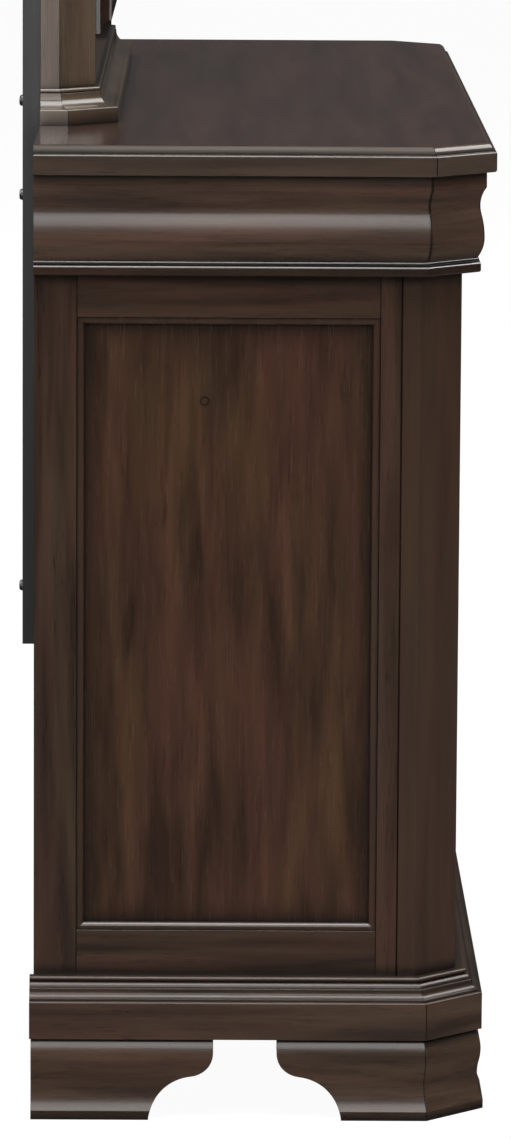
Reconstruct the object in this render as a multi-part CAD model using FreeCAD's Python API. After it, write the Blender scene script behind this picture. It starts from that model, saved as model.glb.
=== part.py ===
import FreeCAD
import Part
import math
import os

from FreeCAD import Vector

# Overall sizes, in millimetres
TOP_LENGTH = 1625.0
TOP_DEPTH = 483.0
TOP_OVERHANG = 35.0
CANT = 44.0
FOOT_HEIGHT = 86.5
PLINTH_HEIGHT = 40.0
BODY_HEIGHT = 746.0
FRIEZE_HEIGHT = 90.0

# Clearances, and how far a cutting shape runs past what it cuts
RUNNING_GAP = 0.3
REVEAL = 2.0
SCREW_FIT = 0.05
OVERRUN = 5.0

# Moulded edge of the top
TOP_FACE_HEIGHT = 21.5
TOP_QUARTER = 9.5
TOP_STEP = 4.0
TOP_ROUND = 2.5
TOP_THICKNESS = TOP_FACE_HEIGHT + TOP_QUARTER

# Frieze: distances out from the case, and shares of its height
FRIEZE_PROJECTION = 24.7
FRIEZE_HOLLOW = 18.2
FRIEZE_BELLY = 23.0
FRIEZE_TOE = 16.0
FRIEZE_BELLY_SHARE = 0.23
FRIEZE_HOLLOW_SHARE = 0.61
FRIEZE_TURN_SHARE = 0.73
FRIEZE_FILLET_SHARE = 0.82

# Waist moulding
WAIST_PROJECTION = 19.5
WAIST_BAND = 10.5
WAIST_ROUND = 2.5
WAIST_BEAD = 2.5
WAIST_BEAD_PROJECTION = 16.5
WAIST_HEIGHT = WAIST_BAND + 2 * WAIST_BEAD

# Base moulding and plinth
PLINTH_PROJECTION = 29.0
PLINTH_ROUND = 1.5
BASE_LEDGE = 2.0
BASE_LIST = 3.0
BASE_COVE = 7.0
BASE_FILLET = 2.5
BASE_OVOLO = 6.0
BASE_QUIRK = 0.5
BASE_BEAD = 2.5
BASE_REAR = 4.0
BASE_STEPS_HEIGHT = BASE_LIST + BASE_COVE + BASE_FILLET + BASE_OVOLO + BASE_QUIRK + 2 * BASE_BEAD

# Bracket feet: distances out from the case, shares of the height, and the cut outline
FOOT_BACK = 2.0
FOOT_TOE = 31.0
FOOT_WAIST = 24.6
FOOT_KNEE = 28.2
FOOT_CROWN = 22.0
FOOT_TOE_SHARE = 0.11
FOOT_WAIST_SHARE = 0.44
FOOT_TURN_SHARE = 0.5
FOOT_KNEE_SHARE = 0.75
FOOT_REAR = 2.5
BRACKET_HOLLOW_SHARE = 0.59
BRACKET_SINK_SHARE = 0.1
BRACKET_SLOPE_SHARE = 0.05
BRACKET_CLIMB_SHARE = 0.105
BRACKET_KNEE_SHARE = 0.305
FRONT_TOE_LENGTH = 77.5
REAR_TOE_LENGTH = 124.5
REAR_BRACKET_TOE_LENGTH = 60.0
REAR_BRACKET_THICKNESS = 18.0
GLUE_BLOCK = 42.0
GLUE_BLOCK_RISE = 8.0

# Side frames, panels and corner posts
FRAME_THICKNESS = 20.0
REAR_STILE = 45.0
FRONT_STILE = 22.5
TOP_RAIL_SHOW = 45.5
BOTTOM_RAIL_SHOW = 48.0
TENON_LENGTH = 12.0
TENON_THICKNESS = 7.0
TENON_SHOULDER = 10.0
PANEL_RECESS = 8.0
PANEL_THICKNESS = 8.0
PANEL_TONGUE = 7.0
BEAD_WIDTH = 8.0
BEAD_HEIGHT = 6.5
BEAD_LIP = 1.3
POST_SIDE = 19.5
POST_FRONT = 28.0
POST_THICKNESS = 30.0
JOINT_GROOVE = 1.2

# Carcass
BOARD_THICKNESS = 18.0
BACK_THICKNESS = 6.0
PARTITION_THICKNESS = 20.0
APRON_THICKNESS = 20.0
APRON_SHOW = 21.5
RAIL_THICKNESS = 20.0
UPPER_RAIL_SHOW = 20.5
REAR_RAIL_WIDTH = 98.0
REAR_RAIL_THICKNESS = 20.0
MIDDLE_REAR_RAIL_CENTRE = 524.5
RUNNER_LIP = 8.0
GUIDE_HEIGHT = 12.0
GUIDE_GAP = 0.7

# Drawers
ROW_NAMES = ("lower", "middle", "upper")
FRONT_RECESS = 4.0
FRONT_THICKNESS = 20.0
FIELD_RISE = 3.0
FIELD_MARGIN = 16.0
FIELD_ROUND = 2.4
SIDE_GAP = 3.0
BOX_THICKNESS = 12.0
BOX_HEIGHT_SHARE = 0.85
DRAWER_BOTTOM = 5.0
DRAWER_BOTTOM_RISE = 10.0
DRAWER_GROOVE = 5.0
REAR_GAP = 4.0
STOP_WIDTH = 60.0
STOP_CATCH = 8.0
TRAVEL_SHARE = 0.64

# Drawer pulls
PULL_SPAN = 128.0
PLATE_HALF_HEIGHT = 15.0
PLATE_THICKNESS = 2.0
PLATE_BEVEL = 0.8
STUD_RADIUS = 5.5
STUD_HEIGHT = 13.0
STUD_ROUND = 2.5
STUD_SHANK = 2.0
STUD_SHANK_HOLE = 2.4
PULL_AXIS_HEIGHT = 8.0
BAIL_RADIUS = 2.2
BAIL_FIT = 0.06
BAIL_SIDE_GAP = 0.8
BAIL_DROP = 30.0
BAIL_SHOULDER = 4.0
BAIL_BEND = 9.0
NUT_RADIUS = 4.5
NUT_HEIGHT = 3.0

# Mirror
MIRROR_INSET = 249.0
MIRROR_CANT = 38.0
MIRROR_FRAME_DEPTH = 58.0
MIRROR_FRAME_HEIGHT = 900.0
MIRROR_BASE_PROJECTION = 25.0
MIRROR_BASE_BAND = 17.0
MIRROR_BASE_ROUND = 1.5
MIRROR_BASE_LEDGE = 5.0
MIRROR_BASE_COVE = 14.0
MIRROR_BASE_FILLET = 2.0
MIRROR_BASE_BEAD = 2.5
MIRROR_STILE = 75.0
MIRROR_RAIL = 75.0
MIRROR_RAIL_INSET = 14.0
MIRROR_TENON = 25.0
CORNICE_NECK = 6.0
CORNICE_BEAD = 3.0
CORNICE_COVE = 20.0
CORNICE_FILLET = 6.0
CORNICE_STEP = 3.0
CORNICE_BAND = 16.0
CORNICE_OVOLO = 8.0
MOULDING_LAP = 20.0
MOULDING_EDGE = 5.0
MOULDING_LEDGE = 2.0
MOULDING_COVE = 12.0
MOULDING_CREST = 4.0
MOULDING_OVOLO = 14.0
MOULDING_QUIRK = 3.0
MOULDING_ROUND = 7.0
MOULDING_LIP = 3.0
GLASS_THICKNESS = 5.0
GLASS_GAP = 1.0
MIRROR_BACK_THICKNESS = 6.0

# Mirror supports and their screws
SUPPORT_WIDTH = 70.0
SUPPORT_THICKNESS = 19.5
SUPPORT_FOOT = 465.0
SUPPORT_LENGTH = 914.0
SUPPORT_INSET = 5.0
SUPPORT_END_SCREW = 49.0
SCREW_RADIUS = 2.3
SCREW_HOLE = 2.6
SCREW_LENGTH = 45.0
SCREW_HEAD_RADIUS = 6.0
SCREW_HEAD_HEIGHT = 4.5
SCREW_HEAD_ROUND = 2.8
RECESS_LENGTH = 6.0
RECESS_WIDTH = 1.2
RECESS_DEPTH = 1.8
BASE_SCREW_HEIGHT = 22.0

# Heights that follow from the stack of pieces
Z_PLINTH_TOP = FOOT_HEIGHT + PLINTH_HEIGHT
Z_BODY = Z_PLINTH_TOP + BASE_STEPS_HEIGHT
Z_WAIST = Z_BODY + BODY_HEIGHT
Z_FRIEZE = Z_WAIST + WAIST_HEIGHT
Z_TOP = Z_FRIEZE + FRIEZE_HEIGHT
Z_SURFACE = Z_TOP + TOP_THICKNESS

# Planes that follow from the overall sizes; the box of the whole object is centred on the origin
BACK = (TOP_DEPTH - SUPPORT_THICKNESS - SCREW_HEAD_HEIGHT) / 2
FRONT = BACK - TOP_DEPTH + TOP_OVERHANG
CASE_HALF = TOP_LENGTH / 2 - TOP_OVERHANG
FRAME_INNER = CASE_HALF - FRAME_THICKNESS
OPENING_HALF = CASE_HALF - CANT - POST_FRONT
BAY_INNER = PARTITION_THICKNESS / 2
BAY_CENTRE = (OPENING_HALF + BAY_INNER) / 2
POST_LINE = FRONT + CANT + POST_SIDE
REAR_RAIL_FACE = BACK - BACK_THICKNESS - REAR_RAIL_THICKNESS
DRAWER_REAR = REAR_RAIL_FACE - REAR_GAP
DRAWER_TRAVEL = TRAVEL_SHARE * TOP_DEPTH
RAIL_REAR = DRAWER_REAR - BOX_THICKNESS - RUNNING_GAP - DRAWER_TRAVEL

SIDE_RUN, CANT_RUN, FRONT_RUN = range(3)
UP = Vector(0, 0, 1)
RIGHT = Vector(1, 0, 0)
REARWARD = Vector(0, 1, 0)


def only(shape):
    """The single solid of a shape."""
    if len(shape.Solids) != 1:
        raise ValueError("expected one solid, found %d" % len(shape.Solids))
    return shape.Solids[0]


def mirrored(shape):
    """The same piece on the other side of the object."""
    return shape.mirror(Vector(), RIGHT)


def block(across, deep, high):
    """A box between three pairs of limits."""
    size = [limits[1] - limits[0] for limits in (across, deep, high)]
    return Part.makeBox(*size, Vector(across[0], deep[0], high[0]))


def prism(points, low, high):
    """An upright prism over a polygon."""
    corners = [Vector(point[0], point[1], low) for point in points]
    face = Part.Face(Part.makePolygon(corners + corners[:1]))
    return face.extrude(UP * (high - low))


def turned(point, centre, degrees):
    """A point of the XY plane turned about a centre."""
    angle = math.radians(degrees)
    arm = point - centre
    across = arm.x * math.cos(angle) - arm.y * math.sin(angle)
    along = arm.x * math.sin(angle) + arm.y * math.cos(angle)
    return centre + Vector(across, along, 0)


def path(start, *steps):
    """Joined edges; a step is an end point, a centre with a turn, or a middle and an end of an arc."""
    here = Vector(start[0], start[1], 0)
    edges = []
    for step in steps:
        if len(step) == 2:
            there = Vector(step[0], step[1], 0)
            edges.append(Part.makeLine(here, there))
        elif len(step) == 3:
            centre = Vector(step[0], step[1], 0)
            there = turned(here, centre, step[2])
            edges.append(Part.Arc(here, turned(here, centre, step[2] / 2), there).toShape())
        else:
            there = Vector(step[2], step[3], 0)
            edges.append(Part.Arc(here, Vector(step[0], step[1], 0), there).toShape())
        here = there
    return edges


def outline(start, *steps):
    """The face inside a path, closed by a straight line."""
    edges = path(start, *steps)
    edges.append(Part.makeLine(edges[-1].lastVertex(True).Point, edges[0].firstVertex(True).Point))
    return Part.Face(Part.Wire(edges))


def swell(start, end):
    """The arc step that leaves its start upright."""
    across = end[0] - start[0]
    rise = end[1] - start[1]
    radius = (across ** 2 + rise ** 2) / (2 * abs(across))
    half_turn = math.atan2(abs(across), abs(rise))
    side = start[0] + math.copysign(radius * (1 - math.cos(half_turn)), across)
    height = start[1] + math.copysign(radius * math.sin(half_turn), rise)
    return (side, height, end[0], end[1])


def settle(start, end):
    """The arc step that comes to its end upright."""
    return swell(end, start)[:2] + (end[0], end[1])


def wave(start, end, turn_share):
    """Two arc steps between two upright points, which meet at a share of the way."""
    turn = [low + turn_share * (high - low) for low, high in zip(start, end)]
    return [swell(start, turn), settle(turn, end)]


def placed(shape, origin, first, second):
    """A shape drawn in the XY plane, moved so that its X and Y follow two directions."""
    third = first.cross(second)
    rows = [(first[i], second[i], third[i], origin[i]) for i in range(3)]
    moved = shape.copy()
    moved.Placement = FreeCAD.Placement(FreeCAD.Matrix(*rows[0], *rows[1], *rows[2]))
    return moved


class Plan:
    """A plan with two canted front corners, and its offsets."""

    def __init__(self, half_width, front, back, cant):
        self.half_width = half_width
        self.front = front
        self.back = back
        self.cant = cant

    def corners(self, offset):
        """The six corners from back left to back right, moved outward by an offset."""
        side = self.half_width + offset
        front = self.front - offset
        leg = self.cant + (2 - math.sqrt(2)) * offset
        left = [(-side, self.back), (-side, front + leg), (leg - side, front)]
        right = [(-point[0], point[1]) for point in reversed(left)]
        return left + right

    def run(self, index):
        """Start, end, direction and outward direction of one side."""
        ends = [Vector(point[0], point[1], 0) for point in self.corners(0)[index:index + 2]]
        along = (ends[1] - ends[0]).normalize()
        return ends[0], ends[1], along, Vector(along.y, -along.x, 0)

    def length(self, index, profile, base):
        """A length of moulding along one side, with mitred ends."""
        start, end, along, outward = self.run(index)
        limits = profile.BoundBox
        inner = self.corners(limits.XMin - OVERRUN)
        outer = self.corners(limits.XMax + OVERRUN)
        reach = limits.XMax + OVERRUN
        section = placed(profile, start - along * reach + UP * base, outward, UP)
        bar = section.extrude(along * ((end - start).Length + 2 * reach))
        edge = [inner[index], inner[index + 1], outer[index + 1], outer[index]]
        clip = prism(edge, base + limits.YMin - OVERRUN, base + limits.YMax + OVERRUN)
        return only(bar.common(clip))

    def lengths(self, profile, base):
        """Five mitred lengths round the two sides, the cants and the front."""
        return [self.length(index, profile, base) for index in range(5)]

    def slab(self, profile, base):
        """One board with a moulded edge on the sides, the cants and the front."""
        limits = profile.BoundBox
        core = prism(self.corners(0), base + limits.YMin, base + limits.YMax)
        return only(core.fuse(self.lengths(profile, base)).removeSplitter())


def mitred_frame(width, height, profile, origin, first, second):
    """Four mitred lengths round a rectangle; the profile runs inward and out of its plane."""
    limits = profile.BoundBox
    low = limits.XMin - OVERRUN
    high = limits.XMax + OVERRUN
    reach = max(abs(low), abs(high))
    corners = [Vector(), Vector(width, 0, 0), Vector(width, height, 0), Vector(0, height, 0)]
    pieces = []
    for index, start in enumerate(corners):
        end = corners[(index + 1) % len(corners)]
        along = (end - start).normalize()
        inward = Vector(-along.y, along.x, 0)
        bar = placed(profile, start - along * reach, inward, UP)
        bar = bar.extrude(along * ((end - start).Length + 2 * reach))
        starting = inward + along
        ending = inward - along
        edge = [start + starting * low, end + ending * low, end + ending * high, start + starting * high]
        clip = prism(edge, limits.YMin - OVERRUN, limits.YMax + OVERRUN)
        pieces.append(placed(only(bar.common(clip)), origin, first, second))
    return pieces


CASE = Plan(CASE_HALF, FRONT, BACK, CANT)
BASE = Plan(CASE_HALF, FRONT, BACK + BASE_REAR, CANT)
FEET = Plan(CASE_HALF, FRONT, BACK + FOOT_REAR, CANT)
MIRROR_HALF = TOP_LENGTH / 2 - MIRROR_INSET - MIRROR_BASE_PROJECTION
MIRROR_FRONT = BACK - MIRROR_FRAME_DEPTH
MIRROR = Plan(MIRROR_HALF, MIRROR_FRONT, BACK, MIRROR_CANT)


def top_panel():
    """The top: a flat face, a small ledge and a quarter round above it."""
    shoulder = TOP_OVERHANG - TOP_ROUND
    ledge = TOP_OVERHANG - TOP_STEP
    edge = outline(
        (0, 0),
        (shoulder, 0),
        (shoulder, TOP_ROUND, 90),
        (TOP_OVERHANG, TOP_FACE_HEIGHT - TOP_ROUND),
        (shoulder, TOP_FACE_HEIGHT - TOP_ROUND, 90),
        (ledge, TOP_FACE_HEIGHT),
        (ledge - TOP_QUARTER, TOP_FACE_HEIGHT, 90),
        (0, TOP_THICKNESS),
    )
    return CASE.slab(edge, Z_TOP)


def frieze_profile():
    """Flat fillet over a hollow and a belly."""
    toe = (FRIEZE_TOE, 0)
    belly = (FRIEZE_BELLY, FRIEZE_BELLY_SHARE * FRIEZE_HEIGHT)
    hollow = (FRIEZE_HOLLOW, FRIEZE_HOLLOW_SHARE * FRIEZE_HEIGHT)
    fillet = (FRIEZE_PROJECTION, FRIEZE_FILLET_SHARE * FRIEZE_HEIGHT)
    return outline(
        (0, 0),
        toe,
        settle(toe, belly),
        *wave(belly, hollow, FRIEZE_TURN_SHARE),
        swell(hollow, fillet),
        (FRIEZE_PROJECTION, FRIEZE_HEIGHT),
        (0, FRIEZE_HEIGHT),
    )


def frieze_end():
    """Side board, canted corner block and short front return at the left end."""
    profile = frieze_profile()
    pieces = [CASE.length(index, profile, Z_FRIEZE) for index in (SIDE_RUN, CANT_RUN)]
    across = (-TOP_LENGTH / 2, -OPENING_HALF)
    end = block(across, (FRONT - TOP_OVERHANG, BACK), (Z_FRIEZE, Z_TOP))
    pieces.append(only(CASE.length(FRONT_RUN, profile, Z_FRIEZE).common(end)))
    return Part.makeCompound(pieces)


def waist_moulding():
    """A rounded band under a bead."""
    shoulder = WAIST_PROJECTION - WAIST_ROUND
    bead = WAIST_BEAD_PROJECTION - WAIST_BEAD
    profile = outline(
        (0, 0),
        (shoulder, 0),
        (shoulder, WAIST_ROUND, 90),
        (WAIST_PROJECTION, WAIST_BAND - WAIST_ROUND),
        (shoulder, WAIST_BAND - WAIST_ROUND, 90),
        (bead, WAIST_BAND),
        (bead, WAIST_BAND + WAIST_BEAD, 180),
        (0, WAIST_HEIGHT),
    )
    return Part.makeCompound(CASE.lengths(profile, Z_WAIST))


def base_moulding():
    """Plinth with a list, a cove, a fillet, an ovolo and a bead above it."""
    shoulder = PLINTH_PROJECTION - PLINTH_ROUND
    list_out = shoulder - BASE_LEDGE
    list_top = PLINTH_HEIGHT + BASE_LIST
    cove_top = list_top + BASE_COVE
    fillet_out = list_out - BASE_COVE
    fillet_top = cove_top + BASE_FILLET
    ovolo_out = fillet_out - BASE_FILLET
    bead = ovolo_out - BASE_OVOLO - BASE_QUIRK
    height = PLINTH_HEIGHT + BASE_STEPS_HEIGHT
    profile = outline(
        (0, 0),
        (PLINTH_PROJECTION, 0),
        (PLINTH_PROJECTION, PLINTH_HEIGHT - PLINTH_ROUND),
        (shoulder, PLINTH_HEIGHT - PLINTH_ROUND, 90),
        (list_out, PLINTH_HEIGHT),
        (list_out, list_top),
        (list_out, cove_top, -90),
        (fillet_out, fillet_top),
        (ovolo_out, fillet_top),
        (ovolo_out - BASE_OVOLO, fillet_top, 90),
        (bead, height - 2 * BASE_BEAD),
        (bead, height - BASE_BEAD, 180),
        (0, height),
    )
    return Part.makeCompound(BASE.lengths(profile, FOOT_HEIGHT))


def foot_profile():
    """Ogee face of a bracket foot."""
    toe = (FOOT_TOE, FOOT_TOE_SHARE * FOOT_HEIGHT)
    waist = (FOOT_WAIST, FOOT_WAIST_SHARE * FOOT_HEIGHT)
    knee = (FOOT_KNEE, FOOT_KNEE_SHARE * FOOT_HEIGHT)
    return outline(
        (FOOT_BACK, 0),
        (FOOT_TOE, 0),
        toe,
        settle(toe, waist),
        *wave(waist, knee, FOOT_TURN_SHARE),
        swell(knee, (FOOT_CROWN, FOOT_HEIGHT)),
        (FOOT_BACK, FOOT_HEIGHT),
    )


def bracket_outline(toe_length):
    """Outline of a bracket: a hollow rising from the toe, a short slope and a rounded knee."""
    hollow = BRACKET_HOLLOW_SHARE * FOOT_HEIGHT
    slope = BRACKET_SLOPE_SHARE * FOOT_HEIGHT
    knee = BRACKET_KNEE_SHARE * FOOT_HEIGHT
    sink = BRACKET_SINK_SHARE * hollow
    climb = BRACKET_CLIMB_SHARE * 90
    along = Vector(math.cos(math.radians(climb)), math.sin(math.radians(climb)), 0)
    inward = Vector(-along.y, along.x, 0)
    bend = Vector(toe_length + math.sqrt(hollow ** 2 - sink ** 2), -sink, 0)
    turn = 90 - climb - math.degrees(math.asin(BRACKET_SINK_SHARE))
    corner = bend + inward * hollow + along * slope
    heart = corner + inward * knee
    return outline(
        (-FOOT_TOE, 0),
        (toe_length, 0),
        (bend.x, bend.y, -turn),
        (corner.x, corner.y),
        (heart.x, heart.y, 90 - climb),
        (heart.x + knee, FOOT_HEIGHT),
        (-FOOT_TOE, FOOT_HEIGHT),
    )


def bracket(index, toe_length, from_end):
    """A moulded bracket along one side of the case."""
    start, end, along, outward = FEET.run(index)
    corner = end if from_end else start
    direction = -along if from_end else along
    reach = FOOT_TOE + OVERRUN
    sheet = placed(bracket_outline(toe_length), corner - outward * reach, direction, UP)
    return only(FEET.length(index, foot_profile(), 0).common(sheet.extrude(outward * 2 * reach)))


def front_foot():
    """Left front foot: two brackets, the canted block between them and a glue block."""
    inner = FEET.corners(FOOT_BACK)
    wedge = [inner[1], inner[2], (inner[2][0], inner[1][1])]
    return Part.makeCompound([
        bracket(SIDE_RUN, FRONT_TOE_LENGTH, True),
        FEET.length(CANT_RUN, foot_profile(), 0),
        bracket(FRONT_RUN, FRONT_TOE_LENGTH, False),
        prism(wedge, GLUE_BLOCK_RISE, FOOT_HEIGHT),
    ])


def rear_foot():
    """Left rear foot: a moulded side bracket, a plain rear bracket and a glue block."""
    inner = -CASE_HALF - FOOT_BACK
    rear = FEET.back
    face = rear - REAR_BRACKET_THICKNESS
    board = placed(bracket_outline(REAR_BRACKET_TOE_LENGTH), Vector(inner, rear, 0), RIGHT, UP)
    board = board.extrude(-REARWARD * REAR_BRACKET_THICKNESS)
    board = only(board.common(block((inner, 0), (face, rear), (0, FOOT_HEIGHT))))
    glue_high = (GLUE_BLOCK_RISE, FOOT_HEIGHT)
    glue_block = block((inner, inner + GLUE_BLOCK), (face - GLUE_BLOCK, face), glue_high)
    return Part.makeCompound([bracket(SIDE_RUN, REAR_TOE_LENGTH, False), board, glue_block])


def side_assembly():
    """Left stiles and rails, the panel in their grooves and the bead round it."""
    thick = (-CASE_HALF, -FRAME_INNER)
    high = (FOOT_HEIGHT, Z_TOP)
    opening_deep = (POST_LINE + FRONT_STILE, BACK - REAR_STILE)
    opening_high = (Z_BODY + BOTTOM_RAIL_SHOW, Z_WAIST - TOP_RAIL_SHOW)
    panel_face = -CASE_HALF + PANEL_RECESS
    panel = block(
        (panel_face, panel_face + PANEL_THICKNESS),
        (opening_deep[0] - PANEL_TONGUE, opening_deep[1] + PANEL_TONGUE),
        (opening_high[0] - PANEL_TONGUE, opening_high[1] + PANEL_TONGUE),
    )
    stiles = [block(thick, (opening_deep[1], BACK), high), block(thick, (POST_LINE, opening_deep[0]), high)]
    rails = []
    middle = -CASE_HALF + FRAME_THICKNESS / 2
    tenon_thick = (middle - TENON_THICKNESS / 2, middle + TENON_THICKNESS / 2)
    tenon_deep = (opening_deep[0] - TENON_LENGTH, opening_deep[1] + TENON_LENGTH)
    for low, top in ((high[0], opening_high[0]), (opening_high[1], high[1])):
        tenon = block(tenon_thick, tenon_deep, (low + TENON_SHOULDER, top - TENON_SHOULDER))
        stiles = [stile.cut(tenon) for stile in stiles]
        rails.append(block(thick, opening_deep, (low, top)).fuse(tenon).removeSplitter())
    pieces = [only(piece.cut(panel)) for piece in stiles + rails]
    pieces[1] = only(pieces[1].cut(joint_groove()))
    radius = BEAD_HEIGHT - BEAD_LIP
    profile = outline(
        (0, 0),
        (BEAD_WIDTH, 0),
        (BEAD_WIDTH, BEAD_LIP),
        (BEAD_WIDTH - radius, BEAD_LIP, 90),
        (0, BEAD_HEIGHT),
    )
    width = opening_deep[1] - opening_deep[0]
    height = opening_high[1] - opening_high[0]
    origin = Vector(panel_face, opening_deep[1], opening_high[0])
    bead = mitred_frame(width, height, profile, origin, -REARWARD, UP)
    return Part.makeCompound(pieces), panel, Part.makeCompound(bead)


def joint_groove():
    """The V along the joint between the left corner post and the front stile."""
    edge = [
        (-CASE_HALF, POST_LINE - JOINT_GROOVE),
        (-CASE_HALF + JOINT_GROOVE, POST_LINE),
        (-CASE_HALF, POST_LINE + JOINT_GROOVE),
    ]
    return prism(edge, FOOT_HEIGHT - OVERRUN, Z_TOP + OVERRUN)


def corner_post():
    """Left front post with its canted face."""
    plan = [
        (-CASE_HALF, POST_LINE),
        (-CASE_HALF, FRONT + CANT),
        (-CASE_HALF + CANT, FRONT),
        (-OPENING_HALF, FRONT),
        (-OPENING_HALF, FRONT + POST_THICKNESS),
        (-CASE_HALF + POST_THICKNESS, POST_LINE),
    ]
    return only(prism(plan, FOOT_HEIGHT, Z_TOP).cut(joint_groove()))


def drawer_rows():
    """Name, lower and upper limit of each row of openings, from the bottom up."""
    low = Z_BODY + APRON_SHOW
    high = Z_WAIST - UPPER_RAIL_SHOW
    count = len(ROW_NAMES)
    opening = (high - low - (count - 1) * RAIL_THICKNESS) / count
    rows = []
    for name in ROW_NAMES:
        rows.append((name, low, low + opening))
        low = low + opening + RAIL_THICKNESS
    rows.append(("frieze", Z_FRIEZE, Z_TOP - RAIL_THICKNESS))
    return rows


def apron():
    """The long bottom rail between the corner posts."""
    high = (FOOT_HEIGHT, Z_BODY + APRON_SHOW)
    return block((-OPENING_HALF, OPENING_HALF), (FRONT, FRONT + APRON_THICKNESS), high)


def face_rails():
    """The apron, and in each bay a rail under every drawer and one under the top."""
    rails = [apron()]
    levels = [(row[1] - RAIL_THICKNESS, row[1], FRONT) for row in drawer_rows()]
    levels[0] = levels[0][:2] + (FRONT + APRON_THICKNESS,)
    levels[-1] = (Z_WAIST - UPPER_RAIL_SHOW,) + levels[-1][1:]
    levels.append((Z_TOP - RAIL_THICKNESS, Z_TOP, FRONT))
    for low, high, face in levels:
        rail = block((-OPENING_HALF, -BAY_INNER), (face, RAIL_REAR), (low, high))
        rails.extend([rail, mirrored(rail)])
    return rails


def rear_rails():
    """Two rails inside the back, which take the screws of the supports."""
    centres = (MIDDLE_REAR_RAIL_CENTRE, Z_TOP - REAR_RAIL_WIDTH / 2)
    rails = []
    for centre in centres:
        high = (centre - REAR_RAIL_WIDTH / 2, centre + REAR_RAIL_WIDTH / 2)
        rails.append(block((-FRAME_INNER, FRAME_INNER), (REAR_RAIL_FACE, BACK - BACK_THICKNESS), high))
    return rails


def drawer_runners():
    """Two runners for each drawer, and a guide strip on the outer one beside the drawer."""
    deep = (RAIL_REAR, BACK - BACK_THICKNESS)
    inset = SIDE_GAP + BOX_THICKNESS + RUNNER_LIP
    runners = []
    for name, low, high in drawer_rows():
        thick = (low - RAIL_THICKNESS, low)
        outer = block((-FRAME_INNER, inset - OPENING_HALF), deep, thick)
        guide = block((-FRAME_INNER, SIDE_GAP - GUIDE_GAP - OPENING_HALF), deep, (low, low + GUIDE_HEIGHT))
        inner = block((-BAY_INNER - inset, -BAY_INNER), deep, thick)
        for strip in (outer, guide, inner):
            for rail in rear_rails():
                strip = strip.cut(rail)
            runners.extend([only(strip), mirrored(only(strip))])
    return Part.makeCompound(runners)


def bottom_board():
    """The board under the lowest drawers, cut round the corner posts."""
    deep = (FRONT + APRON_THICKNESS, BACK - BACK_THICKNESS)
    high = (Z_PLINTH_TOP - BOARD_THICKNESS, Z_PLINTH_TOP)
    board = block((-FRAME_INNER, FRAME_INNER), deep, high).common(prism(CASE.corners(0), *high))
    post = corner_post()
    return only(board.cut(post).cut(mirrored(post)))


def centre_partition():
    """The upright board between the two bays, notched round the apron and the rear rails."""
    across = (-BAY_INNER, BAY_INNER)
    board = block(across, (FRONT, BACK - BACK_THICKNESS), (Z_PLINTH_TOP, Z_TOP))
    for piece in [apron()] + rear_rails():
        board = board.cut(piece)
    return only(board)


def drawer_box(low, opening_height, catch, front):
    """Inner front, sides, back, bottom and stop of a drawer in the left bay."""
    across = (-OPENING_HALF + SIDE_GAP, -BAY_INNER - SIDE_GAP)
    inside = (across[0] + BOX_THICKNESS, across[1] - BOX_THICKNESS)
    foot = low + RUNNING_GAP
    high = (foot, low + BOX_HEIGHT_SHARE * opening_height)
    deep = (front, DRAWER_REAR)
    inner_front = block(inside, (front, front + BOX_THICKNESS), high)
    back = block(inside, (DRAWER_REAR - BOX_THICKNESS, DRAWER_REAR), high)
    sides = [block((across[0], inside[0]), deep, high), block((inside[1], across[1]), deep, high)]
    bottom = block(
        (inside[0] - DRAWER_GROOVE, inside[1] + DRAWER_GROOVE),
        (front + BOX_THICKNESS - DRAWER_GROOVE, DRAWER_REAR - BOX_THICKNESS + DRAWER_GROOVE),
        (foot + DRAWER_BOTTOM_RISE, foot + DRAWER_BOTTOM_RISE + DRAWER_BOTTOM),
    )
    stop = block(
        (-BAY_CENTRE - STOP_WIDTH / 2, -BAY_CENTRE + STOP_WIDTH / 2),
        (DRAWER_REAR - BOX_THICKNESS, DRAWER_REAR),
        (high[1], catch + STOP_CATCH),
    )
    boards = [only(board.cut(bottom)) for board in [inner_front, back] + sides]
    return boards + [bottom, stop]


def field_front(low, high):
    """Front of a main drawer: a board with a raised field."""
    face = FRONT + FRONT_RECESS
    across = (-OPENING_HALF + REVEAL, -BAY_INNER - REVEAL)
    high = (low + REVEAL, high - REVEAL)
    board = block(across, (face + FIELD_RISE, face + FRONT_THICKNESS), high)
    field = block(
        (across[0] + FIELD_MARGIN, across[1] - FIELD_MARGIN),
        (face, face + FIELD_RISE),
        (high[0] + FIELD_MARGIN, high[1] - FIELD_MARGIN),
    )
    front = only(board.fuse(field).removeSplitter())
    rim = [edge for edge in front.Edges if edge.BoundBox.YMax < face + FIELD_RISE / 2]
    return only(front.makeFillet(FIELD_ROUND, rim))


def frieze_front(low):
    """Front of a frieze drawer, cut from the same moulding as the frieze."""
    room = block(
        (-OPENING_HALF + REVEAL, -REVEAL / 2),
        (FRONT - TOP_OVERHANG, FRONT - RUNNING_GAP),
        (low + REVEAL, Z_TOP - REVEAL),
    )
    return only(CASE.length(FRONT_RUN, frieze_profile(), Z_FRIEZE).common(room))


def pull_centre(height):
    """Middle of a pull's seat on the face of a drawer front in the left bay."""
    return Vector(-BAY_CENTRE, FRONT + FRONT_RECESS, height)


def stud_seats(height):
    """Where the two studs of a pull stand on the drawer front."""
    return [pull_centre(height) + RIGHT * side * PULL_SPAN / 2 for side in (-1, 1)]


def stud_hole(seat):
    """Clearance for one stud through the plate, the front and the inner front."""
    length = PLATE_THICKNESS + FRONT_THICKNESS + BOX_THICKNESS + 2 * OVERRUN
    start = seat - REARWARD * (PLATE_THICKNESS + OVERRUN)
    return Part.makeCylinder(STUD_SHANK_HOLE, length, start, REARWARD)


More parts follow.
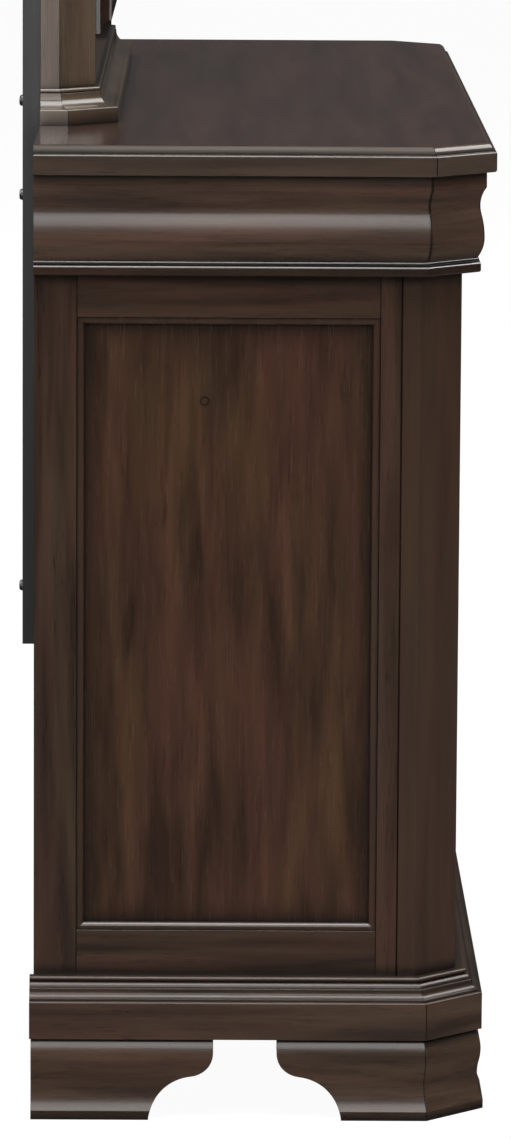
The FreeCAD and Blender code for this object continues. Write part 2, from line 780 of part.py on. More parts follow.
def pull_plate(height):
    """Back plate, two studs that carry the bail, and the nuts inside the drawer."""
    half = PULL_SPAN / 2
    radius = PLATE_HALF_HEIGHT
    shape = outline((half, -radius), (half, 0, 180), (-half, radius), (-half, 0, 180))
    plate = placed(shape, pull_centre(height), RIGHT, UP).extrude(-REARWARD * PLATE_THICKNESS)
    middle = FRONT + FRONT_RECESS - PLATE_THICKNESS / 2
    plate = plate.makeChamfer(PLATE_BEVEL, [edge for edge in plate.Edges if edge.BoundBox.YMax < middle])
    grip = FRONT_THICKNESS + BOX_THICKNESS
    pieces = []
    for seat in stud_seats(height):
        plate = plate.cut(stud_hole(seat))
        base = seat - REARWARD * PLATE_THICKNESS
        stud = Part.makeCylinder(STUD_RADIUS, STUD_HEIGHT, base, -REARWARD)
        tip = base.y - STUD_HEIGHT / 2
        stud = stud.makeFillet(STUD_ROUND, [edge for edge in stud.Edges if edge.BoundBox.YMax < tip])
        side = RIGHT * (STUD_RADIUS + OVERRUN)
        eye_start = base - REARWARD * PULL_AXIS_HEIGHT - side
        stud = stud.cut(Part.makeCylinder(BAIL_RADIUS + BAIL_FIT, 2 * side.Length, eye_start, RIGHT))
        shank = Part.makeCylinder(STUD_SHANK, PLATE_THICKNESS + grip + NUT_HEIGHT, base, REARWARD)
        nut_seat = seat + REARWARD * grip
        nut = Part.makeCylinder(NUT_RADIUS, NUT_HEIGHT, nut_seat, REARWARD)
        bore = Part.makeCylinder(STUD_SHANK + SCREW_FIT, NUT_HEIGHT, nut_seat, REARWARD)
        pieces.extend([only(stud.fuse(shank).removeSplitter()), only(nut.cut(bore))])
    return Part.makeCompound([only(plate)] + pieces)


def bail(height):
    """A bent rod that hangs from the studs of a pull."""
    pin = PULL_SPAN / 2 - STUD_RADIUS - BAIL_SIDE_GAP
    neck = PULL_SPAN / 2 + STUD_RADIUS + BAIL_SIDE_GAP
    leg = neck + BAIL_SHOULDER
    knee = leg - BAIL_BEND
    bend = BAIL_BEND - BAIL_DROP
    rod = Part.Wire(path(
        (-pin, 0),
        (-neck, 0),
        (-neck, -BAIL_SHOULDER, 90),
        (-leg, bend),
        (-knee, bend, 90),
        (knee, -BAIL_DROP),
        (knee, bend, 90),
        (leg, -BAIL_SHOULDER),
        (neck, -BAIL_SHOULDER, 90),
        (pin, 0),
    ))
    section = Part.Wire(Part.Circle(Vector(-pin, 0, 0), RIGHT, BAIL_RADIUS).toShape())
    shape = only(rod.makePipeShell([section], True, True))
    axis = pull_centre(height) - REARWARD * (PLATE_THICKNESS + PULL_AXIS_HEIGHT)
    return placed(shape, axis, RIGHT, UP)


MIRROR_BASE_COVE_TOP = MIRROR_BASE_BAND + MIRROR_BASE_COVE
MIRROR_BASE_BEAD_FOOT = MIRROR_BASE_COVE_TOP + MIRROR_BASE_FILLET
Z_MIRROR = Z_SURFACE + MIRROR_BASE_BEAD_FOOT + 2 * MIRROR_BASE_BEAD
Z_CORNICE = Z_MIRROR + MIRROR_FRAME_HEIGHT
SIGHT_HALF = MIRROR_HALF - MIRROR_STILE
SIGHT_LOW = Z_MIRROR + MIRROR_RAIL
SIGHT_HIGH = Z_CORNICE - MIRROR_RAIL
MOULDING_CREST_HEIGHT = MOULDING_EDGE + MOULDING_COVE
MOULDING_BACK = MOULDING_CREST_HEIGHT - MOULDING_OVOLO - MOULDING_QUIRK - MOULDING_ROUND - MOULDING_LIP
GLASS_FACE = MIRROR_FRONT - MOULDING_BACK


def mirror_base():
    """Base of the mirror: a flat band, a cove and a bead."""
    shoulder = MIRROR_BASE_PROJECTION - MIRROR_BASE_ROUND
    cove_start = MIRROR_BASE_PROJECTION - MIRROR_BASE_LEDGE
    cove_end = cove_start - MIRROR_BASE_COVE
    bead = cove_end / 2
    profile = outline(
        (0, 0),
        (MIRROR_BASE_PROJECTION, 0),
        (MIRROR_BASE_PROJECTION, MIRROR_BASE_BAND - MIRROR_BASE_ROUND),
        (shoulder, MIRROR_BASE_BAND - MIRROR_BASE_ROUND, 90),
        (cove_start, MIRROR_BASE_BAND),
        (cove_start, MIRROR_BASE_COVE_TOP, -90),
        (cove_end, MIRROR_BASE_BEAD_FOOT),
        (bead, MIRROR_BASE_BEAD_FOOT),
        (bead, MIRROR_BASE_BEAD_FOOT + MIRROR_BASE_BEAD, 180),
        (0, MIRROR_BASE_BEAD_FOOT + 2 * MIRROR_BASE_BEAD),
    )
    return MIRROR.slab(profile, Z_SURFACE)


def mirror_cornice():
    """Cornice of the mirror: an astragal, a cove, two fillets and a quarter round."""
    neck = CORNICE_NECK - CORNICE_BEAD
    cove_foot = 2 * CORNICE_BEAD
    cove_out = CORNICE_NECK + CORNICE_COVE
    cove_top = cove_foot + CORNICE_COVE
    fillet_out = cove_out + CORNICE_STEP
    fillet_top = cove_top + CORNICE_FILLET
    band_out = fillet_out + CORNICE_STEP
    band_top = fillet_top + CORNICE_BAND
    profile = outline(
        (0, 0),
        (neck, 0),
        (neck, CORNICE_BEAD, 180),
        (CORNICE_NECK, cove_foot),
        (cove_out, cove_foot, -90),
        (fillet_out, cove_top),
        (fillet_out, fillet_top),
        (band_out, fillet_top),
        (band_out, band_top),
        (band_out - CORNICE_OVOLO, band_top, 90),
        (0, band_top + CORNICE_OVOLO),
    )
    return MIRROR.slab(profile, Z_CORNICE)


def mirror_frame():
    """Two canted stiles and two tenoned rails."""
    plan = MIRROR.corners(0)[:3] + [(-SIGHT_HALF, MIRROR_FRONT), (-SIGHT_HALF, BACK)]
    stile = prism(plan, Z_MIRROR, Z_CORNICE)
    deep = (MIRROR_FRONT, BACK - MIRROR_RAIL_INSET)
    middle = (deep[0] + deep[1]) / 2
    tenon_deep = (middle - TENON_THICKNESS, middle + TENON_THICKNESS)
    tenon_reach = SIGHT_HALF + MIRROR_TENON
    rails = []
    for low, high in ((Z_MIRROR, SIGHT_LOW), (SIGHT_HIGH, Z_CORNICE)):
        tenon_high = (low + TENON_SHOULDER, high - TENON_SHOULDER)
        tenon = block((-tenon_reach, tenon_reach), tenon_deep, tenon_high)
        stile = stile.cut(tenon)
        rail = block((-SIGHT_HALF, SIGHT_HALF), deep, (low, high))
        rails.append(only(rail.fuse(tenon).removeSplitter()))
    return only(stile), rails


def inner_moulding():
    """Mitred moulding that laps the mirror frame and holds the glass."""
    cove_start = MOULDING_LEDGE - MOULDING_LAP
    crest = cove_start + MOULDING_COVE
    ovolo_start = crest + MOULDING_CREST
    ovolo_end = ovolo_start + MOULDING_OVOLO
    ovolo_foot = MOULDING_CREST_HEIGHT - MOULDING_OVOLO
    round_top = ovolo_foot - MOULDING_QUIRK
    round_foot = round_top - MOULDING_ROUND
    lip = ovolo_end + MOULDING_ROUND + MOULDING_LIP
    profile = outline(
        (-MOULDING_LAP, 0),
        (-MOULDING_LAP, MOULDING_EDGE),
        (cove_start, MOULDING_EDGE),
        (cove_start, MOULDING_CREST_HEIGHT, 90),
        (ovolo_start, MOULDING_CREST_HEIGHT),
        (ovolo_start, ovolo_foot, -90),
        (ovolo_end, round_top),
        (ovolo_end, round_foot, -90),
        (lip, round_foot),
        (lip, MOULDING_BACK),
        (0, MOULDING_BACK),
        (0, 0),
    )
    corner = Vector(-SIGHT_HALF, MIRROR_FRONT, SIGHT_LOW)
    height = SIGHT_HIGH - SIGHT_LOW
    return Part.makeCompound(mitred_frame(2 * SIGHT_HALF, height, profile, corner, RIGHT, UP))


def sheet_in_frame(face, thickness):
    """A sheet that fills the opening of the mirror frame."""
    half = SIGHT_HALF - GLASS_GAP
    return block((-half, half), (face, face + thickness), (SIGHT_LOW + GLASS_GAP, SIGHT_HIGH - GLASS_GAP))


SUPPORT_OUTER = MIRROR_HALF - SUPPORT_INSET
SUPPORT_REAR = BACK + SUPPORT_THICKNESS
SUPPORT_TOP = SUPPORT_FOOT + SUPPORT_LENGTH


def screw_seats():
    """Where the screws of the left support bear on it, from the bottom up."""
    heights = (
        MIDDLE_REAR_RAIL_CENTRE,
        Z_TOP - REAR_RAIL_WIDTH / 2,
        Z_SURFACE + BASE_SCREW_HEIGHT,
        SUPPORT_TOP - SUPPORT_END_SCREW,
    )
    return [Vector(SUPPORT_WIDTH / 2 - SUPPORT_OUTER, SUPPORT_REAR, height) for height in heights]


def screw(seat):
    """A pan head screw with a crossed recess."""
    head = Part.makeCylinder(SCREW_HEAD_RADIUS, SCREW_HEAD_HEIGHT, seat, REARWARD)
    middle = seat.y + SCREW_HEAD_HEIGHT / 2
    head = head.makeFillet(SCREW_HEAD_ROUND, [edge for edge in head.Edges if edge.BoundBox.YMin > middle])
    end = seat.y + SCREW_HEAD_HEIGHT
    deep = (end - RECESS_DEPTH, end + OVERRUN)
    long_half = RECESS_LENGTH / 2
    short_half = RECESS_WIDTH / 2
    for wide, tall in ((long_half, short_half), (short_half, long_half)):
        head = head.cut(block((seat.x - wide, seat.x + wide), deep, (seat.z - tall, seat.z + tall)))
    shank = Part.makeCylinder(SCREW_RADIUS, SCREW_LENGTH, seat, -REARWARD)
    return only(head.fuse(shank).removeSplitter())


def bored(shape, radius):
    """A piece with the holes of all screws that reach it."""
    for seat in screw_seats():
        start = seat + REARWARD * OVERRUN
        hole = Part.makeCylinder(radius, SCREW_LENGTH + SCREW_FIT + OVERRUN, start, -REARWARD)
        shape = shape.cut(hole).cut(mirrored(hole))
    return only(shape)


def case_parts():
    """Every piece of the case, by name."""
    frame, panel, bead = side_assembly()
    left = {
        "frieze": frieze_end(),
        "side_frame": frame,
        "side_panel": panel,
        "panel_bead": bead,
        "corner_post": corner_post(),
        "front_foot": front_foot(),
        "rear_foot": rear_foot(),
    }
    parts = {}
    for name, shape in left.items():
        parts["left_" + name] = shape
        parts["right_" + name] = mirrored(shape)
    back_deep = (BACK - BACK_THICKNESS, BACK)
    back = block((-FRAME_INNER, FRAME_INNER), back_deep, (FOOT_HEIGHT, Z_TOP))
    screw_hole = SCREW_RADIUS + SCREW_FIT
    parts["top_panel"] = top_panel()
    parts["waist_moulding"] = waist_moulding()
    parts["base_moulding"] = base_moulding()
    parts["bottom_board"] = bottom_board()
    parts["back_panel"] = bored(back, screw_hole)
    parts["centre_partition"] = centre_partition()
    parts["face_rails"] = Part.makeCompound(face_rails())
    parts["rear_rails"] = Part.makeCompound([bored(rail, screw_hole) for rail in rear_rails()])
    parts["drawer_runners"] = drawer_runners()
    return parts


def drawer_parts():
    """Every piece of the drawers, by name."""
    left = {}
    for name, low, high in drawer_rows():
        if name == "frieze":
            front = frieze_front(low)
            boards = drawer_box(low, high - low, high, FRONT - RUNNING_GAP)
        else:
            pull_height = (low + high) / 2
            front = field_front(low, high)
            boards = drawer_box(low, high - low, high, FRONT + FRONT_RECESS + FRONT_THICKNESS)
            for seat in stud_seats(pull_height):
                front = only(front.cut(stud_hole(seat)))
                boards[0] = only(boards[0].cut(stud_hole(seat)))
            left[name, "pull_plate"] = pull_plate(pull_height)
            left[name, "bail"] = bail(pull_height)
        left[name, "drawer_front"] = front
        left[name, "drawer_box"] = Part.makeCompound(boards)
    parts = {}
    for (row, piece), shape in left.items():
        parts[row + "_left_" + piece] = shape
        parts[row + "_right_" + piece] = mirrored(shape)
    return parts


def mirror_parts():
    """Every piece of the mirror and its supports, by name."""
    screw_hole = SCREW_RADIUS + SCREW_FIT
    stile, rails = mirror_frame()
    stile = bored(stile, screw_hole)
    support = block(
        (-SUPPORT_OUTER, SUPPORT_WIDTH - SUPPORT_OUTER),
        (BACK, SUPPORT_REAR),
        (SUPPORT_FOOT, SUPPORT_TOP),
    )
    support = bored(support, SCREW_HOLE)
    screws = [screw(seat) for seat in screw_seats()]
    return {
        "mirror_base": bored(mirror_base(), screw_hole),
        "mirror_stiles": Part.makeCompound([stile, mirrored(stile)]),
        "mirror_rails": Part.makeCompound(rails),
        "mirror_cornice": mirror_cornice(),
        "mirror_inner_moulding": inner_moulding(),
        "mirror_glass": sheet_in_frame(GLASS_FACE, GLASS_THICKNESS),
        "mirror_back_board": sheet_in_frame(GLASS_FACE + GLASS_THICKNESS, MIRROR_BACK_THICKNESS),
        "mirror_supports": Part.makeCompound([support, mirrored(support)]),
        "support_screws": Part.makeCompound(screws + [mirrored(piece) for piece in screws]),
    }


def main():
    """Build every piece and write one STEP file for each."""
    os.makedirs("parts", exist_ok=True)
    for group in (case_parts(), drawer_parts(), mirror_parts()):
        for name, shape in group.items():
            shape.exportStep(os.path.join("parts", name + ".step"))


main()
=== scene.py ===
import math

import bmesh
import bpy
from bpy.props import FloatProperty, FloatVectorProperty, PointerProperty
from mathutils import Matrix, Vector


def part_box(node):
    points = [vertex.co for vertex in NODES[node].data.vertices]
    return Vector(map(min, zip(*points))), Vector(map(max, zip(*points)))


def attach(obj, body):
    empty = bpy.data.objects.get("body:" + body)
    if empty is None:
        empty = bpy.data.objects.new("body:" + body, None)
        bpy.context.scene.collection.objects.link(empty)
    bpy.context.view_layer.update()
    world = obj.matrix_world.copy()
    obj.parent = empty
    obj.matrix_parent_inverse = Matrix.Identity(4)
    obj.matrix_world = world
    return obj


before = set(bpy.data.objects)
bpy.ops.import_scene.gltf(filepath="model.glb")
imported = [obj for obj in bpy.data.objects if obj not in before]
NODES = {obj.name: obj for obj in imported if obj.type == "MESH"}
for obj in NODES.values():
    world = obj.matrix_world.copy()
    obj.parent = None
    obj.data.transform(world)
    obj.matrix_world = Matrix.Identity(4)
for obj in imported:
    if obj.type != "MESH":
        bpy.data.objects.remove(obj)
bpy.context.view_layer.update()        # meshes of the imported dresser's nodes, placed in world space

bl_info = {
    "name": "Dresser with mirror",
    "version": (1, 0, 0),
    "blender": (4, 5, 0),
    "location": "View3D > Sidebar > Dresser",
    "description": "Finishes a packed dresser in stained wood, brass and glass and sets it in a pale studio",
    "category": "Object",
}

MM = 0.001
SIDES = ("left", "right")
ROWS = ("lower", "middle", "upper")
DRAWERS = [f"{row}_{side}" for row in (*ROWS, "frieze") for side in SIDES]
PULLS = [f"{row}_{side}" for row in ROWS for side in SIDES]

# Axes that the grain runs along
UPRIGHT = (False, False, True)
LEVEL = (True, True, False)
LONG = (True, False, False)

# How many times longer than wide a broad streak and a fibre are
STREAK_RATIO = 14
FIBRE_RATIO = 22

# Stained wood: shares of the two streaks, limits that each noise fades between, and strengths; the corner
# limits and the corner shade strength set the painted shade in quirks and corners
STREAK_SHARE = 0.86
FIBRE_SHARE = 0.14
HUE_LIMITS = (0.36, 0.64)
FIGURE_LIMITS = (0.34, 0.64)
PORE_LIMITS = (0.58, 0.68)
FLOCK_LIMITS = (0.4, 0.6)
CORNER_LIMITS = (0.93, 0.58)
NOISE_LIMITS = (0.3, 0.7)
PORE_STRENGTH = 0.55
CORNER_SHADE_STRENGTH = 0.97
SEAM_STRENGTH = 0.85
KNOT_STRENGTH = 0.75
EDGE_STRENGTH = 0.9
RELIEF_HEIGHT = 0.3 * MM
LACQUER_IOR = 1.5
COAT_ROUGHNESS = 0.16

# Moulded edge of the top: how far a flat faces up, its tint, which is partly painted sheen, and how rough its
# rubbed ends are
FLAT_FACING = 0.95
EDGE_FACING = 0.9
END_FACING = 0.2
EDGE_TINT_AND_SHEEN = (1.6, 2.15, 2.05, 1)
RUBBED_ROUGHNESS = 0.55

# How bright the floor is to lacquer, to matt surfaces and to the mirror, and the room to the mirror
FLOOR_TO_LACQUER = 0.06
FLOOR_TO_MATT = 0.95
FLOOR_TO_MIRROR = 0.45
ROOM_TO_MIRROR = 0.1

# Nail heads: facets, segments of the rim, and shares of the head's radius and height
NAIL_SEGMENTS = 10
RIM_SEGMENTS = 2
NAIL_TAPER_SHARE = 0.85
RIM_START_SHARE = 0.9
RIM_ROUND_SHARE = 0.4

# Softboxes: place and size in metres, and the value that holds their power; all face AIM
AIM = (0, 0, 0.7)
SOFTBOXES = {
    "key": ((-7.0, 0, 4.1), (5.0, 3.0), "key"),
    "high": ((-2.0, 0, 6.6), (2.2, 5.5), "high"),
    "front": ((2.0, -5.2, 5.4), (4.0, 2.6), "front"),
    "right": ((6.0, 6.0, 3.4), (4.5, 2.4), "fill"),
    "back": ((-1.0, 7.4, 4.4), (4.5, 2.4), "fill"),
    "wall": ((-14, 0, 1.6), (10, 3.2), "wall"),
}
SENSOR_WIDTH = 36
VIEW_DISTANCE = 400


def linear(text):
    """The linear colour of an sRGB hex value such as #5a4136."""
    values = [int(text[place:place + 2], 16) / 255 for place in (1, 3, 5)]
    return tuple(v / 12.92 if v <= 0.04045 else ((v + 0.055) / 1.055) ** 2.4 for v in values)


def tone(label, text, default):
    """A colour that the user can change."""
    return FloatVectorProperty(name=label, description=text, default=linear(default), size=3, min=0, max=1,
                               subtype="COLOR")


def length(label, text, default):
    """A length that the user can change, given in millimetres and kept in metres."""
    return FloatProperty(name=label, description=text, default=default * MM, min=0, unit="LENGTH",
                         precision=5)


def power(label, text, default):
    """The power of a light, which the user can change."""
    return FloatProperty(name=label, description=text, default=default, subtype="POWER", unit="POWER")


def angle(label, text, default):
    """An angle in radians that the user can change."""
    return FloatProperty(name=label, description=text, default=default, subtype="ANGLE")


class DresserColours(bpy.types.PropertyGroup):
    """Colours of the dresser's finishes."""
    veneer_dark: tone("Veneer, dark", "Darkest streaks of the stained veneer", "#342319")
    veneer_red: tone("Veneer, red", "Reddish streaks of the stained veneer", "#5d3c2d")
    veneer_olive: tone("Veneer, olive", "Yellowish streaks of the stained veneer", "#5b412b")
    top_dark: tone("Top, dark", "Darkest clouds of the stained top", "#2b1f1b")
    top_red: tone("Top, red", "Reddish clouds of the stained top", "#553b34")
    top_olive: tone("Top, brown", "Brown clouds of the stained top", "#4d3a32")
    solid_dark: tone("Solid wood, dark", "Darkest streaks of the stained solid wood", "#34261e")
    solid_red: tone("Solid wood, red", "Reddish streaks of the stained solid wood", "#533a2e")
    solid_olive: tone("Solid wood, olive", "Yellowish streaks of the stained solid wood", "#503f30")
    # Painted sheen in part: the mirror's wood is drawn paler than the case's solid wood, standing partly for
    # the light its frame reflects
    pale_dark: tone("Mirror wood, dark", "Darkest streaks of the mirror's frame", "#3c3026")
    pale_red: tone("Mirror wood, red", "Reddish streaks of the mirror's frame", "#6b5547")
    pale_olive: tone("Mirror wood, olive", "Yellowish streaks of the mirror's frame", "#6b5c4b")
    stain_pore: tone("Pores", "Glaze left in the open pores", "#1a1210")
    # Painted shade: this colour darkens quirks and corners where ambient occlusion finds them; it also draws
    # the dark joint lines
    shade_and_joint: tone("Glaze", "Dark glaze that stays in quirks and corners", "#120d0b")
    bare_pale: tone("Bare wood, pale", "Early wood of the drawer sides", "#c9a877")
    bare_dark: tone("Bare wood, dark", "Late wood of the drawer sides", "#a88152")
    ply_pale: tone("Plywood, pale", "Early wood of the rotary cut plywood", "#a88a68")
    ply_dark: tone("Plywood, dark", "Late wood of the rotary cut plywood", "#8d6f50")
    paint: tone("Support paint", "Black paint of the mirror supports", "#131416")
    paint_thin: tone("Support paint, thin", "Support paint where the brush left it thin", "#1d1e22")
    brass: tone("Brass", "Rubbed high places of the brass", "#a88a55")
    patina: tone("Patina", "Brown patina of the brass", "#3b2b1a")
    zinc: tone("Zinc", "Zinc plating of the screws", "#8d8f92")
    silver: tone("Mirror", "Silvering seen through the glass", "#dfe5e3")
    floor: tone("Floor", "Pale studio floor", "#fafafa")


class DresserSizes(bpy.types.PropertyGroup):
    """Sizes of the grain and of the small fittings."""
    streak: length("Streak", "Width of the broad streaks of grain", 18)
    fibre: length("Fibre", "Width of the fine streaks of grain", 3.5)
    pore: length("Pore", "Width of a pore, drawn coarser than the real 0.3 mm so that it shows", 1.1)
    # Reach of the painted shade in corners, as the distance of the ambient occlusion
    shade_reach: length("Glaze reach", "How far the glaze reaches out of a corner", 14)
    cant: length("Cant", "Leg of the case's canted corners", 44)
    mirror_cant: length("Mirror cant", "Leg of the mirror's canted corners", 38)
    # A side panel is drawn darker towards its edges, fading out from edge start to edge end
    edge_start: length("Edge start", "From a panel's edge to where its dark stain begins to fade", 6)
    edge_end: length("Edge end", "From a panel's edge to where its dark stain is gone", 40)
    knot: length("Knot", "Radius of the small knot in the left panel", 4.2)
    knot_ring: length("Knot ring", "Half the width of the dark ring round the knot", 1.47)
    knot_place: FloatVectorProperty(name="Knot place", size=2, unit="LENGTH", default=(0.0510, 0.762),
                                    description="Where the knot is, towards the back and up")
    quarter: length("Quarter round", "Height of the quarter round at the top's edge", 9.2)
    arris: length("Arris", "Radius to which sandpaper eased the sharp edges", 1.0)
    nail: length("Nail", "Radius of a nail's head", 3.5)
    nail_height: length("Nail height", "Height of a nail's head over the board", 0.7)
    nail_inset: length("Nail inset", "From a board's edge to its nails", 9)
    nail_pitch: length("Nail pitch", "Greatest distance from nail to nail", 120)
    support: length("Support", "Width of a mirror support", 70)
    lipping: length("Lipping", "Depth of the stained front edge of the partition", 20)
    seam: length("Seam", "Half the width of a joint line, drawn wider than it is so that it shows", 0.8)
    frieze_seam: length("Frieze seam", "Half the width of the joint between the frieze and its cant", 2.0)


class DresserStudio(bpy.types.PropertyGroup):
    """The camera and the lights."""
    eye: FloatVectorProperty(name="Camera", description="Where the camera stands", size=3, subtype="XYZ",
                             unit="LENGTH", default=(-7.4117, 0.0339, 1.5948))
    yaw: angle("Yaw", "Turn of the view from +X towards +Y", -0.0056)
    tilt: angle("Tilt", "How far the camera looks down", 0.151)
    roll: angle("Roll", "Turn about the view direction", 0.0058)
    lens: FloatProperty(name="Lens", description="Focal length in mm", default=202.03, min=1)
    floor_half: FloatProperty(name="Floor", description="Half the width of the floor", default=150,
                              unit="LENGTH")
    key: power("Key", "Power of the low softbox on the camera's side", 168)
    high: power("High", "Power of the softbox overhead", 330)
    front: power("Front", "Power of the high softbox in front", 220)
    fill: power("Fill", "Power of the softboxes on the right and behind", 150)
    wall: power("Wall", "Power of the lit wall far behind the camera", 330)
    room: FloatProperty(name="Room", description="Brightness of the room all round", default=0.066, min=0)


def add(tree, kind, settings=(), inputs=(), out=0):
    """Adds a shader node, sets its properties, sets or links its inputs, and returns one output."""
    node = tree.nodes.new("ShaderNode" + kind)
    for key, value in dict(settings).items():
        if key == "stops":
            for index, (place, colour) in enumerate(value):
                stop = node.color_ramp.elements[index] if index < 2 else node.color_ramp.elements.new(place)
                stop.position = place
                stop.color = (*colour, 1)
        else:
            setattr(node, key, value)
    for key, value in dict(inputs).items():
        if isinstance(value, bpy.types.NodeSocket):
            tree.links.new(value, node.inputs[key])
        else:
            node.inputs[key].default_value = value
    return node.outputs[out]


def new_material(name):
    """An empty node material and its tree."""
    material = bpy.data.materials.new(name)
    material.use_nodes = True
    material.node_tree.nodes.clear()
    return material, material.node_tree


def close_material(tree, shader):
    """Links a shader to the material's surface."""
    output = tree.nodes.new("ShaderNodeOutputMaterial")
    tree.links.new(shader, output.inputs["Surface"])


def stretched(tree, grain, ratio=FIBRE_RATIO):
    """Object coordinates squeezed along the grain, so that a round noise becomes a streak."""
    place = add(tree, "TexCoord", out="Object")
    squeeze = [1 / ratio if along else 1 for along in grain]
    return add(tree, "Mapping", (), {"Vector": place, "Scale": squeeze})


def coordinate(tree, axis, space="Object"):
    """One coordinate of a point, or of its normal, along the piece's own axes."""
    return add(tree, "SeparateXYZ", (), {0: add(tree, "TexCoord", out=space)}, axis)


def joint_line(tree, distance, width):
    """1 on a joint and 0 beside it, from the distance to the joint."""
    away = add(tree, "Math", {"operation": "ABSOLUTE"}, {0: distance})
    return add(tree, "MapRange", (), {0: away, 1: width, 2: width * 0.5})


def mitre_seams(tree, node, cant, width):
    """Joint lines where the mouldings round a canted plan are mitred, left and right alike."""
    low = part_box(node)[0]
    across = add(tree, "Math", {"operation": "ABSOLUTE"}, {0: coordinate(tree, "X")})
    deep = coordinate(tree, "Y")
    near, far = math.sin(math.pi / 8), math.cos(math.pi / 8)
    lines = []
    for corner, turn in (((-low.x, low.y + cant), (near, far)), ((-low.x - cant, low.y), (far, near))):
        part = add(tree, "Math", {"operation": "MULTIPLY_ADD"}, {
            0: across, 1: turn[0], 2: -corner[0] * turn[0] - corner[1] * turn[1]})
        lines.append(joint_line(tree, add(tree, "Math", {"operation": "MULTIPLY_ADD"}, {
            0: deep, 1: turn[1], 2: part}), width))
    return add(tree, "Math", {"operation": "MAXIMUM"}, {0: lines[0], 1: lines[1]})


def stained_wood(name, lay_of, roughness, kind="solid", lift=1.0, figure=1.0, relief=0.05, coat=0.6,
                 coarse=1.0, slim=STREAK_RATIO, seams_of=None, edge_of=None, gain_of=None, dull_of=None):
    """Hardwood stained dark brown and sprayed with lacquer: soft streaks that wander between red and
    olive brown, short dark pores, painted shade darkening the quirks and corners, and a smooth sheen over it
    all."""
    colours = bpy.context.scene.dresser_colours
    sizes = bpy.context.scene.dresser_sizes
    material, tree = new_material(name)
    broad, fine = lay_of(tree, slim), lay_of(tree, FIBRE_RATIO)
    streak = add(tree, "TexNoise", (), {"Vector": broad, "Scale": 1 / (coarse * sizes.streak), "Detail": 3.0,
                                         "Roughness": 0.5, "Distortion": 0.3})
    fibre = add(tree, "TexNoise", (), {"Vector": fine, "Scale": 1 / sizes.fibre, "Detail": 3.0,
                                        "Roughness": 0.6, "Distortion": 0.2})
    hue = add(tree, "TexNoise", (), {"Vector": broad, "Scale": 0.6 / (coarse * sizes.streak), "Detail": 1.0})
    pore = add(tree, "TexNoise", (), {"Vector": fine, "Scale": 1 / sizes.pore, "Detail": 1.0})
    flock = add(tree, "TexNoise", (), {"Vector": broad, "Scale": 1.4 / sizes.streak, "Detail": 1.0})
    red, olive, dark = [[v * lift for v in getattr(colours, f"{kind}_{shade}")] + [1]
                        for shade in ("red", "olive", "dark")]
    warm = add(tree, "Mix", {"data_type": "RGBA"}, {
        0: add(tree, "MapRange", (), enumerate((hue, *HUE_LIMITS))), 6: red, 7: olive}, 2)
    blend = add(tree, "Math", {"operation": "ADD"}, {
        0: add(tree, "Math", {"operation": "MULTIPLY"}, {0: streak, 1: STREAK_SHARE}),
        1: add(tree, "Math", {"operation": "MULTIPLY"}, {0: fibre, 1: FIBRE_SHARE})})
    ends = ((1 - figure) / 2, (1 + figure) / 2)
    body = add(tree, "Mix", {"data_type": "RGBA"}, {
        0: add(tree, "MapRange", (), enumerate((blend, *FIGURE_LIMITS, *ends))), 6: dark, 7: warm}, 2)
    if gain_of:
        body = add(tree, "Mix", {"data_type": "RGBA", "blend_type": "MULTIPLY"}, {
            0: 1.0, 6: body, 7: gain_of(tree)}, 2)
    dash = add(tree, "Math", {"operation": "MULTIPLY"}, {
        0: add(tree, "MapRange", (), enumerate((pore, *PORE_LIMITS))),
        1: add(tree, "MapRange", (), enumerate((flock, *FLOCK_LIMITS)))})
    pored = add(tree, "Mix", {"data_type": "RGBA"}, {
        0: add(tree, "Math", {"operation": "MULTIPLY"}, {0: dash, 1: PORE_STRENGTH * figure}), 6: body,
        7: (*colours.stain_pore, 1)}, 2)
    # Painted shade: ambient occlusion darkens the wood in quirks, corners and under overhangs
    open_sky = add(tree, "AmbientOcclusion", {"samples": 4}, {"Distance": sizes.shade_reach}, "AO")
    shaded_colour = add(tree, "Mix", {"data_type": "RGBA"}, {
        0: add(tree, "MapRange", (), enumerate((open_sky, *CORNER_LIMITS, 0.0, CORNER_SHADE_STRENGTH))), 6: pored,
        7: (*colours.shade_and_joint, 1)}, 2)
    if edge_of:
        shaded_colour = add(tree, "Mix", {"data_type": "RGBA"}, {
            0: edge_of(tree, streak), 6: shaded_colour, 7: (*colours.stain_pore, 1)}, 2)
    if seams_of:
        shaded_colour = add(tree, "Mix", {"data_type": "RGBA"}, {
            0: add(tree, "Math", {"operation": "MULTIPLY"}, {0: seams_of(tree), 1: SEAM_STRENGTH}), 6: shaded_colour,
            7: (*colours.shade_and_joint, 1)}, 2)
    depth = add(tree, "Math", {"operation": "SUBTRACT"}, {
        0: add(tree, "Math", {"operation": "MULTIPLY"}, {0: fibre, 1: 0.3}), 1: dash})
    eased = add(tree, "Bevel", {"samples": 4}, {"Radius": sizes.arris})
    bump = add(tree, "Bump", (), {
        "Strength": relief, "Distance": RELIEF_HEIGHT, "Height": depth, "Normal": eased})
    dull = add(tree, "MapRange", (), enumerate((fibre, *NOISE_LIMITS, roughness - 0.03, roughness + 0.04)))
    if dull_of:
        dull = add(tree, "Math", {"operation": "MAXIMUM"}, {0: dull, 1: dull_of(tree)})
    close_material(tree, add(tree, "BsdfPrincipled", (), {
        "Base Color": shaded_colour, "Roughness": dull, "IOR": LACQUER_IOR, "Normal": bump, "Coat Weight": coat,
        "Coat Roughness": COAT_ROUGHNESS, "Coat IOR": LACQUER_IOR}))
    return material


